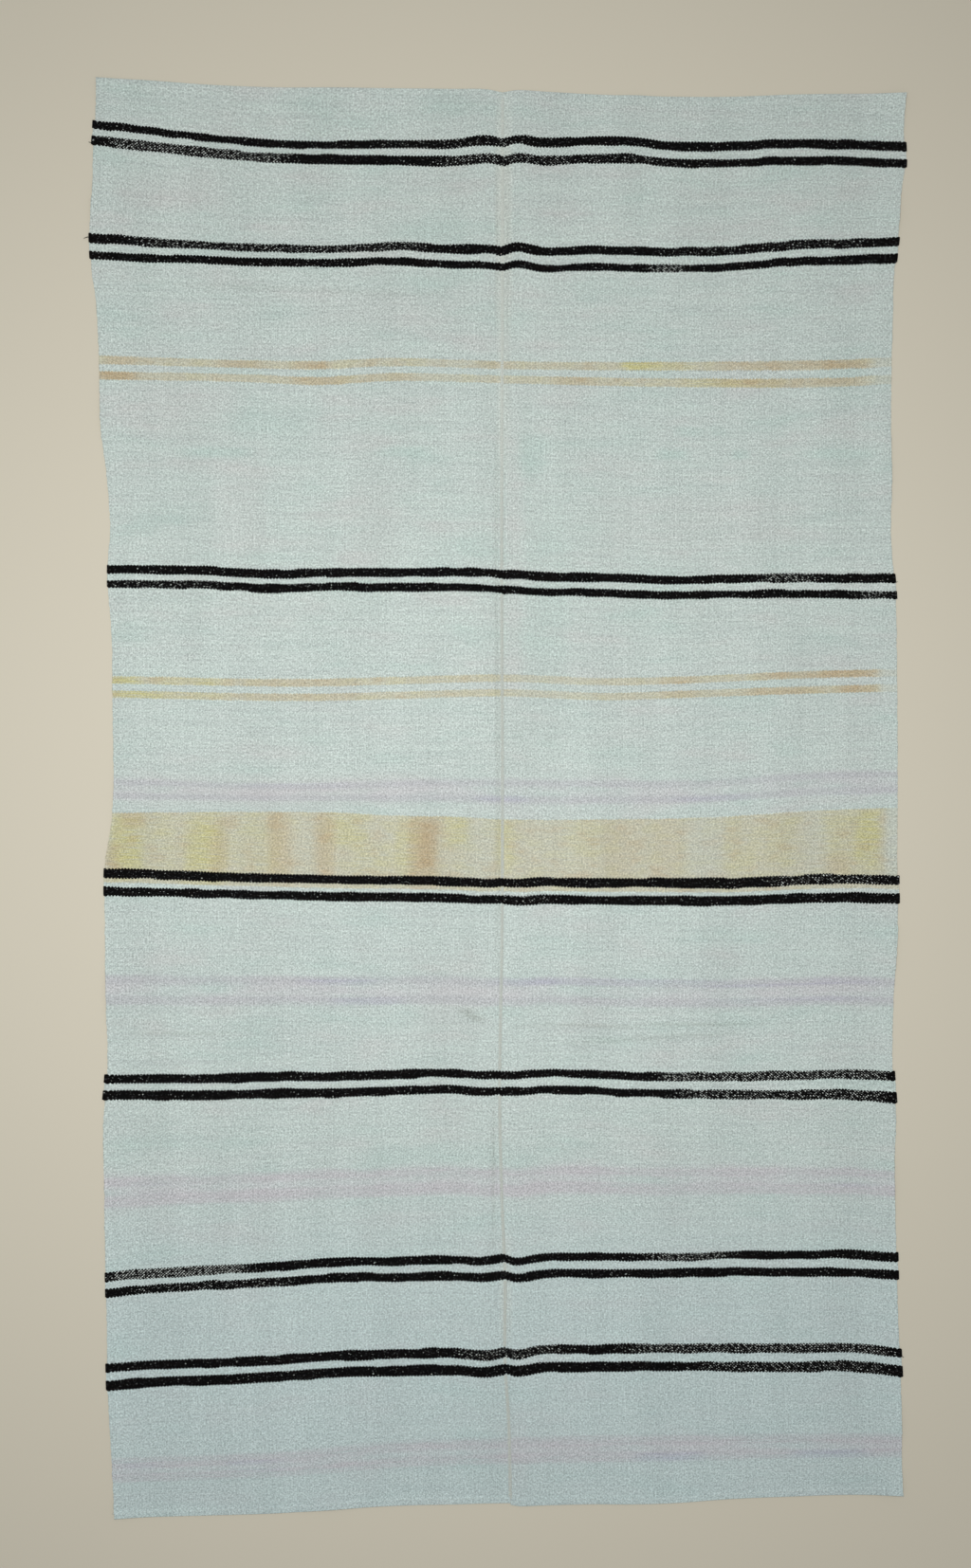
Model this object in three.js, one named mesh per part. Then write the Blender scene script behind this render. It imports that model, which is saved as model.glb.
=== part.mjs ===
// A flat-woven hemp kilim rug, lying flat on a floor.
// Two loom-width panels lie side by side and are oversewn along a seam down the middle. Each panel is one
// sheet of undyed hemp with seven pairs of black goat-hair bands, whose thicker yarn stands proud of the
// ground weave and reaches past the selvedges. Both ends are turned under in a narrow hem. Sizes are in
// millimetres. +X runs across the rug to the right, +Y up its length and +Z up from the floor.

import * as THREE from "three";

// The cloth's thickness: the ground weave, and how far each thing stands above it.
const GROUND_THICKNESS = 2.0;
const BAND_RISE = 0.9;
const HEM_RISE = 1.6;
const SEAM_RISE = 0.7;

// The run of the slope up to a band or a hem, the depth of the hems, and the gap between the two panels.
const STEP_RUN = 2;
const HEM_DEPTH = 16;
const SEAM_GAP = 0.4;

// How much of a band's reach past the selvedge the ground beside it has: outside the pair, and between
// its two bands.
const OUTER_JUT_SHARE = 0.35;
const INNER_JUT_SHARE = 0.8;

// The grid of each panel: the widest space between two rows, and the columns by their distance from the
// seam on a panel of the nominal width. The first two columns stand on the seam's ridge and the third is
// at its foot.
const ROW_SPACING = 60;
const PANEL_WIDTH = 965;
const SEAM_RIDGE_COLUMNS = 2;
const COLUMN_DISTANCES = [0, 5, 9, 38, 95, 160, 225, 310, 395, 480, 570, 660, 750, 840, 925, PANEL_WIDTH];

// The weft lines shift across with the wandering seam, and less and less so over this distance from it.
const SEAM_EASE = 38;

const HEMP_COLOUR = new THREE.Color("#c6d0ca");
const GOAT_HAIR_COLOUR = new THREE.Color("#17181a");

// The places across each panel where its weft lines are given, from left to right. The lines of the two
// panels meet at the last of the left places, which is the first of the right ones.
const SEAM_PLACE = 5;
const LEFT_PLACES = [-1000, -880, -720, -560, -400, -260, -120, -35, SEAM_PLACE];
const RIGHT_PLACES = [SEAM_PLACE, 35, 100, 220, 320, 420, 560, 720, 860, 1000];

// The two ends of the rug: how far up the length they lie at those places.
const TOP_END = {
  left: [1755, 1752, 1743, 1739, 1741, 1741, 1742, 1742, 1735],
  right: [1735, 1741, 1739, 1734, 1732, 1731, 1733, 1741, 1745, 1748],
};
const BOTTOM_END = {
  left: [-1755, -1751, -1749, -1747, -1739, -1733, -1732, -1731, -1731],
  right: [-1735, -1739, -1738, -1737, -1739, -1738, -1730, -1726, -1724, -1727],
};

// The band pairs, from the top. left and right are how far up the length the line midway between the two
// bands lies at the places above, so the beating of the weft shows in them. apart is the distance between
// the two bands' middles, and upper and lower are the two bands' own breadths. All three are given at the
// left selvedge, the left panel's middle, the seam, the right panel's middle and the right selvedge. jut
// is how far the bands reach past the left and the right selvedge.
const ACROSS_PLACES = [-980, -500, SEAM_PLACE, 500, 980];
const BAND_PAIRS = [
  {
    left: [1622, 1611, 1595, 1583, 1582, 1584, 1585, 1594, 1588],
    right: [1588, 1597, 1591, 1597, 1598, 1588, 1590, 1598, 1598, 1594],
    apart: [40, 35, 44, 41, 42],
    upper: [19, 18, 22, 22, 23],
    lower: [23, 24, 24, 21, 21],
    jut: [9, 8],
  },
  {
    left: [1344, 1338, 1332, 1328, 1329, 1335, 1329, 1330, 1325],
    right: [1325, 1334, 1325, 1329, 1328, 1328, 1332, 1348, 1354, 1360],
    apart: [41, 34, 40, 41, 40],
    upper: [22, 18, 22, 21, 21],
    lower: [19, 19, 18, 19, 22],
    jut: [5, 7],
  },
  {
    left: [540, 541, 539, 532, 536, 536, 537, 536, 532],
    right: [532, 532, 527, 526, 523, 520, 523, 526, 525, 524],
    apart: [36, 35, 38, 38, 41],
    upper: [22, 21, 22, 20, 23],
    lower: [17, 20, 18, 18, 19],
    jut: [3, 7],
  },
  {
    left: [-203, -205, -211, -215, -219, -221, -224, -228, -227],
    right: [-227, -229, -227, -229, -229, -230, -231, -225, -222, -226],
    apart: [44, 41, 42, 44, 47],
    upper: [22, 21, 21, 24, 22],
    lower: [21, 21, 21, 23, 25],
    jut: [4, 8],
  },
  {
    left: [-703, -702, -704, -700, -700, -696, -693, -700, -698],
    right: [-698, -700, -696, -699, -704, -707, -709, -709, -708, -717],
    apart: [41, 40, 40, 43, 55],
    upper: [22, 23, 20, 21, 22],
    lower: [23, 23, 20, 21, 26],
    jut: [11, 8],
  },
  {
    left: [-1189, -1178, -1170, -1163, -1153, -1153, -1151, -1155, -1150],
    right: [-1150, -1157, -1149, -1148, -1150, -1151, -1148, -1150, -1151, -1161],
    apart: [38, 38, 41, 40, 46],
    upper: [22, 22, 20, 19, 22],
    lower: [20, 21, 21, 21, 22],
    jut: [4, 8],
  },
  {
    left: [-1411, -1402, -1399, -1393, -1384, -1382, -1381, -1388, -1380],
    right: [-1380, -1386, -1377, -1377, -1377, -1378, -1380, -1383, -1383, -1399],
    apart: [42, 41, 42, 45, 45],
    upper: [22, 23, 24, 22, 23],
    lower: [24, 24, 25, 24, 26],
    jut: [7, 9],
  },
];

// The outer selvedges between the bands: how far out each lies at a place up the length.
const SELVEDGES = [
  { up: 1755, left: -988, right: 1004 },
  { up: 1660, left: -988, right: 996 },
  { up: 1570, left: -993, right: 998 },
  { up: 1490, left: -995, right: 987 },
  { up: 1390, left: -1002, right: 981 },
  { up: 1290, left: -998, right: 971 },
  { up: 1205, left: -988, right: 970 },
  { up: 1050, left: -981, right: 967 },
  { up: 890, left: -976, right: 965 },
  { up: 790, left: -963, right: 966 },
  { up: 650, left: -954, right: 964 },
  { up: 580, left: -959, right: 968 },
  { up: 510, left: -959, right: 974 },
  { up: 430, left: -952, right: 978 },
  { up: 220, left: -949, right: 982 },
  { up: -40, left: -949, right: 982 },
  { up: -150, left: -965, right: 979 },
  { up: -300, left: -966, right: 980 },
  { up: -515, left: -961, right: 969 },
  { up: -650, left: -957, right: 967 },
  { up: -800, left: -968, right: 976 },
  { up: -915, left: -967, right: 971 },
  { up: -1100, left: -965, right: 976 },
  { up: -1290, left: -961, right: 981 },
  { up: -1500, left: -956, right: 990 },
  { up: -1755, left: -944, right: 995 },
];

// The seam's wander: how far across it lies at a place up the length.
const SEAM = [
  { up: 1755, across: 2 },
  { up: 1400, across: 2 },
  { up: 700, across: 0 },
  { up: -300, across: 1 },
  { up: -740, across: -5 },
  { up: -1000, across: 1 },
  { up: -1170, across: 8 },
  { up: -1380, across: 8 },
  { up: -1530, across: 17 },
  { up: -1755, across: 22 },
];

// The soft folds and lifted edges: each is a low swell at a place across and up the rug, with half its
// length, half its width, the turn of its length from the X axis in degrees, and its height.
const SWELLS = [
  { name: "crease under pair 2", across: -500, up: 1272, reach: 430, spread: 42, turn: -2, height: 3.0 },
  { name: "crease above pair 5", across: 370, up: -560, reach: 260, spread: 42, turn: 3, height: 2.5 },
  { name: "crease at pair 7", across: 430, up: -1440, reach: 130, spread: 45, turn: 55, height: 2.5 },
  { name: "wave, left panel top", across: -560, up: 1500, reach: 240, spread: 75, turn: 80, height: 2.5 },
  { name: "wave, right panel", across: 640, up: 150, reach: 420, spread: 90, turn: 86, height: 2.5 },
  { name: "wave, left panel foot", across: -330, up: -960, reach: 300, spread: 85, turn: 94, height: 2.5 },
  { name: "corner, top left", across: -1010, up: 1770, reach: 120, spread: 80, turn: -45, height: 6 },
  { name: "corner, top right", across: 1020, up: 1760, reach: 130, spread: 90, turn: 45, height: 8 },
  { name: "corner, bottom left", across: -960, up: -1770, reach: 120, spread: 80, turn: 45, height: 5 },
  { name: "corner, bottom right", across: 1010, up: -1745, reach: 130, spread: 90, turn: -45, height: 8 },
  { name: "left selvedge flute", across: -1000, up: 1450, reach: 90, spread: 85, turn: 0, height: 5 },
  { name: "left selvedge flute", across: -975, up: 950, reach: 80, spread: 130, turn: 0, height: 4 },
  { name: "left selvedge flute", across: -960, up: 20, reach: 80, spread: 150, turn: 0, height: 4 },
  { name: "left selvedge flute", across: -965, up: -480, reach: 80, spread: 110, turn: 0, height: 5 },
  { name: "right selvedge flute", across: 1000, up: 1450, reach: 100, spread: 85, turn: 0, height: 7 },
  { name: "right selvedge flute", across: 975, up: 820, reach: 90, spread: 150, turn: 0, height: 5 },
  { name: "right selvedge flute", across: 980, up: -380, reach: 90, spread: 110, turn: 0, height: 6 },
  { name: "right selvedge flute", across: 985, up: -960, reach: 100, spread: 120, turn: 0, height: 6 },
  { name: "right selvedge flute", across: 1000, up: -1550, reach: 90, spread: 80, turn: 0, height: 5 },
  { name: "lift of the top hem", across: 330, up: 1745, reach: 90, spread: 55, turn: 90, height: 4 },
  { name: "lift of the bottom hem", across: -420, up: -1760, reach: 90, spread: 110, turn: 90, height: 4 },
];

// A smooth curve through values at rising places, level beyond both ends.
function curveThrough(places, values) {
  const curve = new THREE.CubicInterpolant(places, values, 1);
  return (place) => curve.evaluate(place)[0];
}

// A smooth curve through one column of a table that is listed from the top of the rug down.
function columnCurve(table, column) {
  const rising = [...table].reverse();
  return curveThrough(
    rising.map((entry) => entry.up),
    rising.map((entry) => entry[column]),
  );
}

const seamAcross = columnCurve(SEAM, "across");

const SIDES = {
  left: { sign: -1, places: LEFT_PLACES, selvedge: columnCurve(SELVEDGES, "left"), jutIndex: 0 },
  right: { sign: 1, places: RIGHT_PLACES, selvedge: columnCurve(SELVEDGES, "right"), jutIndex: 1 },
};

// How much of a swell is left at a distance from its middle: a squared cosine, which ends at the limit.
function falloff(distance, limit) {
  return Math.cos((Math.PI / 2) * Math.min(Math.abs(distance) / limit, 1)) ** 2;
}

// The height of the cloth's underside over the floor: the swells added up.
function liftAt(across, up) {
  return SWELLS.reduce((height, swell) => {
    const turn = THREE.MathUtils.degToRad(swell.turn);
    const x = across - swell.across;
    const y = up - swell.up;
    const lengthwise = x * Math.cos(turn) + y * Math.sin(turn);
    const crosswise = y * Math.cos(turn) - x * Math.sin(turn);
    return height + swell.height * falloff(lengthwise, swell.reach) * falloff(crosswise, swell.spread);
  }, 0);
}

// One row of a panel's grid: a weft line given as a function of the place across, its rise over the
// ground weave, how far it reaches past the selvedge, and its yarn's colour.
function gridRow(upAt, rise = 0, jut = 0, colour = HEMP_COLOUR) {
  return { upAt, rise, jut, colour };
}

// The four rows of one band, from its upper foot to its lower foot. above is 1 for the upper band of a
// pair and -1 for the lower one.
function bandRows(pair, side, above) {
  const pairLine = curveThrough(side.places, pair[side.name]);
  const apart = curveThrough(ACROSS_PLACES, pair.apart);
  const broad = curveThrough(ACROSS_PLACES, above > 0 ? pair.upper : pair.lower);
  const jut = pair.jut[side.jutIndex];
  const middle = (x) => pairLine(x) + (above * apart(x)) / 2;
  const outerFoot = OUTER_JUT_SHARE * jut;
  const innerFoot = INNER_JUT_SHARE * jut;
  return [
    gridRow((x) => middle(x) + broad(x) / 2, 0, above > 0 ? outerFoot : innerFoot),
    gridRow((x) => middle(x) + broad(x) / 2 - STEP_RUN, BAND_RISE, jut, GOAT_HAIR_COLOUR),
    gridRow((x) => middle(x) - broad(x) / 2 + STEP_RUN, BAND_RISE, jut, GOAT_HAIR_COLOUR),
    gridRow((x) => middle(x) - broad(x) / 2, 0, above > 0 ? innerFoot : outerFoot),
  ];
}

// The three rows of a hem: its outer end, the end of its doubled cloth, and the single cloth beside it.
// inward is -1 where the cloth lies below the end and 1 where it lies above it.
function hemRows(end, side, inward) {
  const endLine = curveThrough(side.places, end[side.name]);
  return [
    gridRow(endLine, HEM_RISE),
    gridRow((x) => endLine(x) + inward * HEM_DEPTH, HEM_RISE),
    gridRow((x) => endLine(x) + inward * (HEM_DEPTH + STEP_RUN)),
  ];
}

// Rows of plain ground weave between two given rows, evenly spaced and bending from one line to the other.
function groundRows(above, below) {
  const height = above.upAt(SEAM_PLACE) - below.upAt(SEAM_PLACE);
  const count = Math.ceil(height / ROW_SPACING) - 1;
  return Array.from({ length: Math.max(count, 0) }, (_, index) => {
    const share = (index + 1) / (count + 1);
    return gridRow((x) => above.upAt(x) * (1 - share) + below.upAt(x) * share);
  });
}

// All rows of one panel, from the bottom end to the top end.
function panelRows(side) {
  const stretches = [
    hemRows(TOP_END, side, -1),
    ...BAND_PAIRS.map((pair) => [...bandRows(pair, side, 1), ...bandRows(pair, side, -1)]),
    hemRows(BOTTOM_END, side, 1).reverse(),
  ];
  const rows = stretches.flatMap((stretch, index) => {
    const next = stretches[index + 1];
    return next ? [...stretch, ...groundRows(stretch.at(-1), next[0])] : stretch;
  });
  return rows.reverse();
}

// The point of the cloth on one row and column, on its upper face or its underside. The column runs from
// the seam out to the selvedge, and the row's ends set how far apart those are.
function clothPoint(side, row, columnIndex, onTop) {
  const seamUp = row.upAt(SEAM_PLACE);
  const seamEdge = seamAcross(seamUp) + (side.sign * SEAM_GAP) / 2;
  const selvedge = side.selvedge(row.upAt(side.sign * PANEL_WIDTH));
  const distance = COLUMN_DISTANCES[columnIndex];
  const jut = distance === PANEL_WIDTH ? side.sign * row.jut : 0;
  const across = seamEdge + ((selvedge - seamEdge) * distance) / PANEL_WIDTH + jut;
  const besideSeam = Math.max(1 - distance / SEAM_EASE, 0);
  const up = row.upAt(across - (seamEdge - SEAM_PLACE) * besideSeam);
  const seamRise = columnIndex < SEAM_RIDGE_COLUMNS ? SEAM_RISE : 0;
  const thickness = GROUND_THICKNESS + row.rise + seamRise;
  return [across, up, liftAt(across, up) + (onTop ? thickness : 0)];
}

// One panel as a closed sheet: a box divided into the panel's rows and columns, with each point of it
// carried to its place in the cloth and coloured by its row's yarn.
function panelGeometry(side) {
  const rows = panelRows(side);
  const rowSpaces = rows.length - 1;
  const columnSpaces = COLUMN_DISTANCES.length - 1;
  const geometry = new THREE.BoxGeometry(columnSpaces, rowSpaces, 1, columnSpaces, rowSpaces, 1);
  const position = geometry.getAttribute("position");
  const colours = new Float32Array(position.count * 3);
  for (let index = 0; index < position.count; index++) {
    const fromLeft = Math.round(position.getX(index) + columnSpaces / 2);
    const columnIndex = side.sign > 0 ? fromLeft : columnSpaces - fromLeft;
    const row = rows[Math.round(position.getY(index) + rowSpaces / 2)];
    const onTop = position.getZ(index) > 0;
    position.setXYZ(index, ...clothPoint(side, row, columnIndex, onTop));
    row.colour.toArray(colours, index * 3);
  }
  geometry.setAttribute("color", new THREE.BufferAttribute(colours, 3));
  geometry.computeVertexNormals();
  return geometry;
}

// Dry, unpolished hemp and goat hair. The yarn's colour comes from the points of the cloth.
function clothMaterial() {
  return new THREE.MeshStandardMaterial({
    color: "#ffffff",
    vertexColors: true,
    roughness: 0.95,
    metalness: 0,
  });
}

const rug = new THREE.Group();
for (const [name, side] of Object.entries(SIDES)) {
  const panel = new THREE.Mesh(panelGeometry({ name, ...side }), clothMaterial());
  panel.name = `panel_${name}`;
  rug.add(panel);
}

// The origin is the middle of the rug's outline, on the floor.
const outline = new THREE.Box3().setFromObject(rug);
const middle = outline.getCenter(new THREE.Vector3());
rug.position.set(-middle.x, -middle.y, -outline.min.z);

export default rug;
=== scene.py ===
from functools import partial

import bpy
import numpy as np
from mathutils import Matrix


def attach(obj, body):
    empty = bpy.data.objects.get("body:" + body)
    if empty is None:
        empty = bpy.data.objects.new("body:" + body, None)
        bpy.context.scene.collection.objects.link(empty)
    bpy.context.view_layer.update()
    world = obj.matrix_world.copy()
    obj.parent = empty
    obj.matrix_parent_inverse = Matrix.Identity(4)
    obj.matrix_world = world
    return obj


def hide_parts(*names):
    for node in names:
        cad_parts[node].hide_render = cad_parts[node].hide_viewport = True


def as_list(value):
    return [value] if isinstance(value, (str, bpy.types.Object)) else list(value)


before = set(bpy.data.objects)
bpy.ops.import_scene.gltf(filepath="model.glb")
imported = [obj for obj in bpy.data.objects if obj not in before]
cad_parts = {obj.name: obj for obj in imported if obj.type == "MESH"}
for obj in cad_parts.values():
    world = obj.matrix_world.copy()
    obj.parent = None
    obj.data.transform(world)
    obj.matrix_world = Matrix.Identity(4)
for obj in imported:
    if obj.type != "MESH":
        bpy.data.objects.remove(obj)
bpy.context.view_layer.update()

# The two hemp panels: their shape.
# Each is one loom-width length of undyed hemp in a plain weave, beaten down until the weft hides the
# warp. Both ends are turned under in a narrow hem, and the panels lie edge to edge on the floor, as
# uneven as they came off the loom.

# Shapes are worked out in millimetres, and a mesh is made in metres.
MM = 0.001

CLOTH_THICKNESS = 2.0
HEM_RISE = 1.6
HEM_DEPTH = 16
SEAM_RISE = 0.7
SEAM_RIDGE = 8
SEAM_GAP = 0.4
PANEL_WIDTH = 965
UNDERSIDE = 0.08

# The places across each panel where its weft lines are given, from left to right. The two panels meet at
# the seam's place, and a weft line is named by its height there.
SEAM_PLACE = 5
LEFT_PLACES = [-1000, -880, -720, -560, -400, -260, -120, -35, SEAM_PLACE]
RIGHT_PLACES = [SEAM_PLACE, 35, 100, 220, 320, 420, 560, 720, 860, 1000]

TOP_END = {
    "left": [1755, 1752, 1743, 1739, 1741, 1741, 1742, 1742, 1735],
    "right": [1735, 1741, 1739, 1734, 1732, 1731, 1733, 1741, 1745, 1748],
}
BOTTOM_END = {
    "left": [-1755, -1751, -1749, -1747, -1739, -1733, -1732, -1731, -1731],
    "right": [-1735, -1739, -1738, -1737, -1739, -1738, -1730, -1726, -1724, -1727],
}

# The goat-hair band pairs, from the top: the line midway between the two bands at the places above; the
# distance between the bands' middles and the breadth of the upper and the lower band at five places; and
# the reach past the left and right selvedge.
ACROSS_PLACES = [-980, -500, SEAM_PLACE, 500, 980]
BAND_PAIRS = [
    {
        "left": [1622, 1611, 1595, 1583, 1582, 1584, 1585, 1594, 1588],
        "right": [1588, 1597, 1591, 1597, 1598, 1588, 1590, 1598, 1598, 1594],
        "apart": [40, 35, 44, 41, 42],
        "upper": [19, 18, 22, 22, 23],
        "lower": [23, 24, 24, 21, 21],
        "jut": [9, 8],
    },
    {
        "left": [1344, 1338, 1332, 1328, 1329, 1335, 1329, 1330, 1325],
        "right": [1325, 1334, 1325, 1329, 1328, 1328, 1332, 1348, 1354, 1360],
        "apart": [41, 34, 40, 41, 40],
        "upper": [22, 18, 22, 21, 21],
        "lower": [19, 19, 18, 19, 22],
        "jut": [5, 7],
    },
    {
        "left": [540, 541, 539, 532, 536, 536, 537, 536, 532],
        "right": [532, 532, 527, 526, 523, 520, 523, 526, 525, 524],
        "apart": [36, 35, 38, 38, 41],
        "upper": [22, 21, 22, 20, 23],
        "lower": [17, 20, 18, 18, 19],
        "jut": [3, 7],
    },
    {
        "left": [-203, -205, -211, -215, -219, -221, -224, -228, -227],
        "right": [-227, -229, -227, -229, -229, -230, -231, -225, -222, -226],
        "apart": [44, 41, 42, 44, 47],
        "upper": [22, 21, 21, 24, 22],
        "lower": [21, 21, 21, 23, 25],
        "jut": [4, 8],
    },
    {
        "left": [-703, -702, -704, -700, -700, -696, -693, -700, -698],
        "right": [-698, -700, -696, -699, -704, -707, -709, -709, -708, -717],
        "apart": [41, 40, 40, 43, 55],
        "upper": [22, 23, 20, 21, 22],
        "lower": [23, 23, 20, 21, 26],
        "jut": [11, 8],
    },
    {
        "left": [-1189, -1178, -1170, -1163, -1153, -1153, -1151, -1155, -1150],
        "right": [-1150, -1157, -1149, -1148, -1150, -1151, -1148, -1150, -1151, -1161],
        "apart": [38, 38, 41, 40, 46],
        "upper": [22, 22, 20, 19, 22],
        "lower": [20, 21, 21, 21, 22],
        "jut": [4, 8],
    },
    {
        "left": [-1411, -1402, -1399, -1393, -1384, -1382, -1381, -1388, -1380],
        "right": [-1380, -1386, -1377, -1377, -1377, -1378, -1380, -1383, -1383, -1399],
        "apart": [42, 41, 42, 45, 45],
        "upper": [22, 23, 24, 22, 23],
        "lower": [24, 24, 25, 24, 26],
        "jut": [7, 9],
    },
]

# Weft lines that the flush dyed stripes follow, given where they wander from their neighbours.
STRIPE_LINES = {
    "gold 1": {
        "places": [-968, -613, -452, -270, 3, 379, 836, 967],
        "heights": [1069, 1061, 1061, 1070, 1065, 1067, 1076, 1083],
    },
    "gold 2": {
        "places": [-968, -613, -452, -270, 3, 379, 836, 967],
        "heights": [1030, 1027, 1021, 1033, 1030, 1025, 1029, 1038],
    },
    "gold 3": {
        "places": [-945, -475, -260, 3, 258, 436, 725, 935],
        "heights": [289, 283, 289, 296, 288, 292, 306, 312],
    },
    "gold 4": {
        "places": [-945, -475, -260, 3, 258, 436, 725, 935],
        "heights": [255, 248, 253, 260, 251, 257, 267, 273],
    },
    "lilac": {
        "places": [-945, -825, -533, -218, 3, 178, 470, 773, 942],
        "heights": [40, 37, 28, 37, 38, 37, 37, 56, 60],
    },
    "wide gold": {
        "places": [-945, -400, -260, -118, 3, 290, 508, 652, 795, 942],
        "heights": [-34, -34, -42, -44, -51, -51, -47, -38, -29, -24],
    },
    "foot": {
        "places": [-980, -533, -218, 3, 178, 470, 980],
        "heights": [-1622, -1610, -1587, -1583, -1581, -1582, -1586],
    },
}
# The stripe lines that lie above each band pair, by the pair's place in the table, and those below the
# last pair.
LINES_ABOVE_PAIR = {2: ["gold 1", "gold 2"], 3: ["gold 3", "gold 4", "lilac", "wide gold"]}
LINES_BELOW_PAIRS = ["foot"]

# How far out the outer selvedges lie between the bands, and how far across the seam wanders.
SELVEDGES = [
    {"up": 1755, "left": -988, "right": 1004},
    {"up": 1660, "left": -988, "right": 996},
    {"up": 1570, "left": -993, "right": 998},
    {"up": 1490, "left": -995, "right": 987},
    {"up": 1390, "left": -1002, "right": 981},
    {"up": 1290, "left": -998, "right": 971},
    {"up": 1205, "left": -988, "right": 970},
    {"up": 1050, "left": -981, "right": 967},
    {"up": 890, "left": -976, "right": 965},
    {"up": 790, "left": -963, "right": 966},
    {"up": 650, "left": -954, "right": 964},
    {"up": 580, "left": -959, "right": 968},
    {"up": 510, "left": -959, "right": 974},
    {"up": 430, "left": -952, "right": 978},
    {"up": 220, "left": -949, "right": 982},
    {"up": -40, "left": -949, "right": 982},
    {"up": -150, "left": -965, "right": 979},
    {"up": -300, "left": -966, "right": 980},
    {"up": -515, "left": -961, "right": 969},
    {"up": -650, "left": -957, "right": 967},
    {"up": -800, "left": -968, "right": 976},
    {"up": -915, "left": -967, "right": 971},
    {"up": -1100, "left": -965, "right": 976},
    {"up": -1290, "left": -961, "right": 981},
    {"up": -1500, "left": -956, "right": 990},
    {"up": -1755, "left": -944, "right": 995},
]
SEAM = [
    {"up": 1755, "across": 2},
    {"up": 1400, "across": 2},
    {"up": 700, "across": 0},
    {"up": -300, "across": 1},
    {"up": -740, "across": -5},
    {"up": -1000, "across": 1},
    {"up": -1170, "across": 8},
    {"up": -1380, "across": 8},
    {"up": -1530, "across": 17},
    {"up": -1755, "across": 22},
]

# The soft folds and lifted edges: the middle of each swell, half its length, half its width, the turn of
# its length from the X axis in degrees, and its height.
SWELL_COLUMNS = ("across", "up", "reach", "spread", "turn", "height")
SWELLS = {
    "crease under pair 2": (-500, 1272, 430, 42, -2, 3.0),
    "crease above pair 5": (370, -560, 260, 42, 3, 2.5),
    "crease at pair 7": (430, -1440, 130, 45, 55, 2.5),
    "wave, left panel top": (-560, 1500, 240, 75, 80, 2.5),
    "wave, right panel": (640, 150, 420, 90, 86, 2.5),
    "wave, left panel foot": (-330, -960, 300, 85, 94, 2.5),
    "corner, top left": (-1010, 1770, 120, 80, -45, 6),
    "corner, top right": (1020, 1760, 130, 90, 45, 8),
    "corner, bottom left": (-960, -1770, 120, 80, 45, 5),
    "corner, bottom right": (1010, -1745, 130, 90, -45, 8),
    "left selvedge flute 1": (-1000, 1450, 90, 85, 0, 5),
    "left selvedge flute 2": (-975, 950, 80, 130, 0, 4),
    "left selvedge flute 3": (-960, 20, 80, 150, 0, 4),
    "left selvedge flute 4": (-965, -480, 80, 110, 0, 5),
    "right selvedge flute 1": (1000, 1450, 100, 85, 0, 7),
    "right selvedge flute 2": (975, 820, 90, 150, 0, 5),
    "right selvedge flute 3": (980, -380, 90, 110, 0, 6),
    "right selvedge flute 4": (985, -960, 100, 120, 0, 6),
    "right selvedge flute 5": (1000, -1550, 90, 80, 0, 5),
    "lift of the top hem": (330, 1745, 90, 55, 90, 4),
    "lift of the bottom hem": (-420, -1760, 90, 110, 90, 4),
}


def curve_through(places, values):
    """The smooth curve through values at rising places. Between two of them it is a cubic, whose slope at
    each one is the mean of the straight slopes on its two sides. It is level beyond both ends."""
    places = np.asarray(places, float)
    values = np.asarray(values, float)
    spans = np.diff(places)
    straight = np.diff(values) / spans
    slopes = np.concatenate([straight[:1], (straight[:-1] + straight[1:]) / 2, straight[-1:]])

    def curve(at):
        held = np.clip(at, places[0], places[-1])
        first = np.clip(np.searchsorted(places, held, side="right") - 1, 0, len(spans) - 1)
        part = (held - places[first]) / spans[first]
        bend = slopes[first] * (1 - part) - slopes[first + 1] * part
        return (
            values[first] * (1 + 2 * part) * (1 - part) ** 2
            + values[first + 1] * (3 - 2 * part) * part**2
            + spans[first] * part * (1 - part) * bend
        )

    return curve


def column_curve(table, column):
    """The smooth curve through one column of a table that is listed from the top of the rug down."""
    rising = table[::-1]
    return curve_through([entry["up"] for entry in rising], [entry[column] for entry in rising])


def soft_patch(across, up, patch):
    """How strongly one soft patch is felt at each place: its height at its middle, falling off as a
    squared cosine along its turned length and across it."""
    turn = np.radians(patch["turn"])
    x = across - patch["across"]
    y = up - patch["up"]
    lengthwise = np.abs(x * np.cos(turn) + y * np.sin(turn)) / patch["reach"]
    crosswise = np.abs(y * np.cos(turn) - x * np.sin(turn)) / patch["spread"]
    quarter = np.pi / 2
    fall = np.cos(quarter * np.minimum(lengthwise, 1)) * np.cos(quarter * np.minimum(crosswise, 1))
    return patch["height"] * fall**2


# The cloth never lies dead flat: it cockles by a few tenths of a millimetre, in waves that cross at random.
COCKLE = {"height": 0.6, "waves": 14, "shortest": 110, "longest": 340, "seed": 5}


def cockle_at(across, up):
    """The cockling: waves of random length, direction and start, added up and brought between 0 and its
    height."""
    random = np.random.default_rng(COCKLE["seed"])
    total = 0
    for _ in range(COCKLE["waves"]):
        turn, start = random.uniform(0, 2 * np.pi, 2)
        length = random.uniform(COCKLE["shortest"], COCKLE["longest"])
        along = across * np.cos(turn) + up * np.sin(turn)
        total = total + np.cos(2 * np.pi * along / length + start)
    return COCKLE["height"] * (0.5 + 0.5 * np.tanh(total / np.sqrt(COCKLE["waves"])))


def lift_at(across, up):
    """The height of the cloth's underside over the floor: the swells and the cockling added up."""
    swells = sum(soft_patch(across, up, dict(zip(SWELL_COLUMNS, swell))) for swell in SWELLS.values())
    return swells + cockle_at(across, up)


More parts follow.
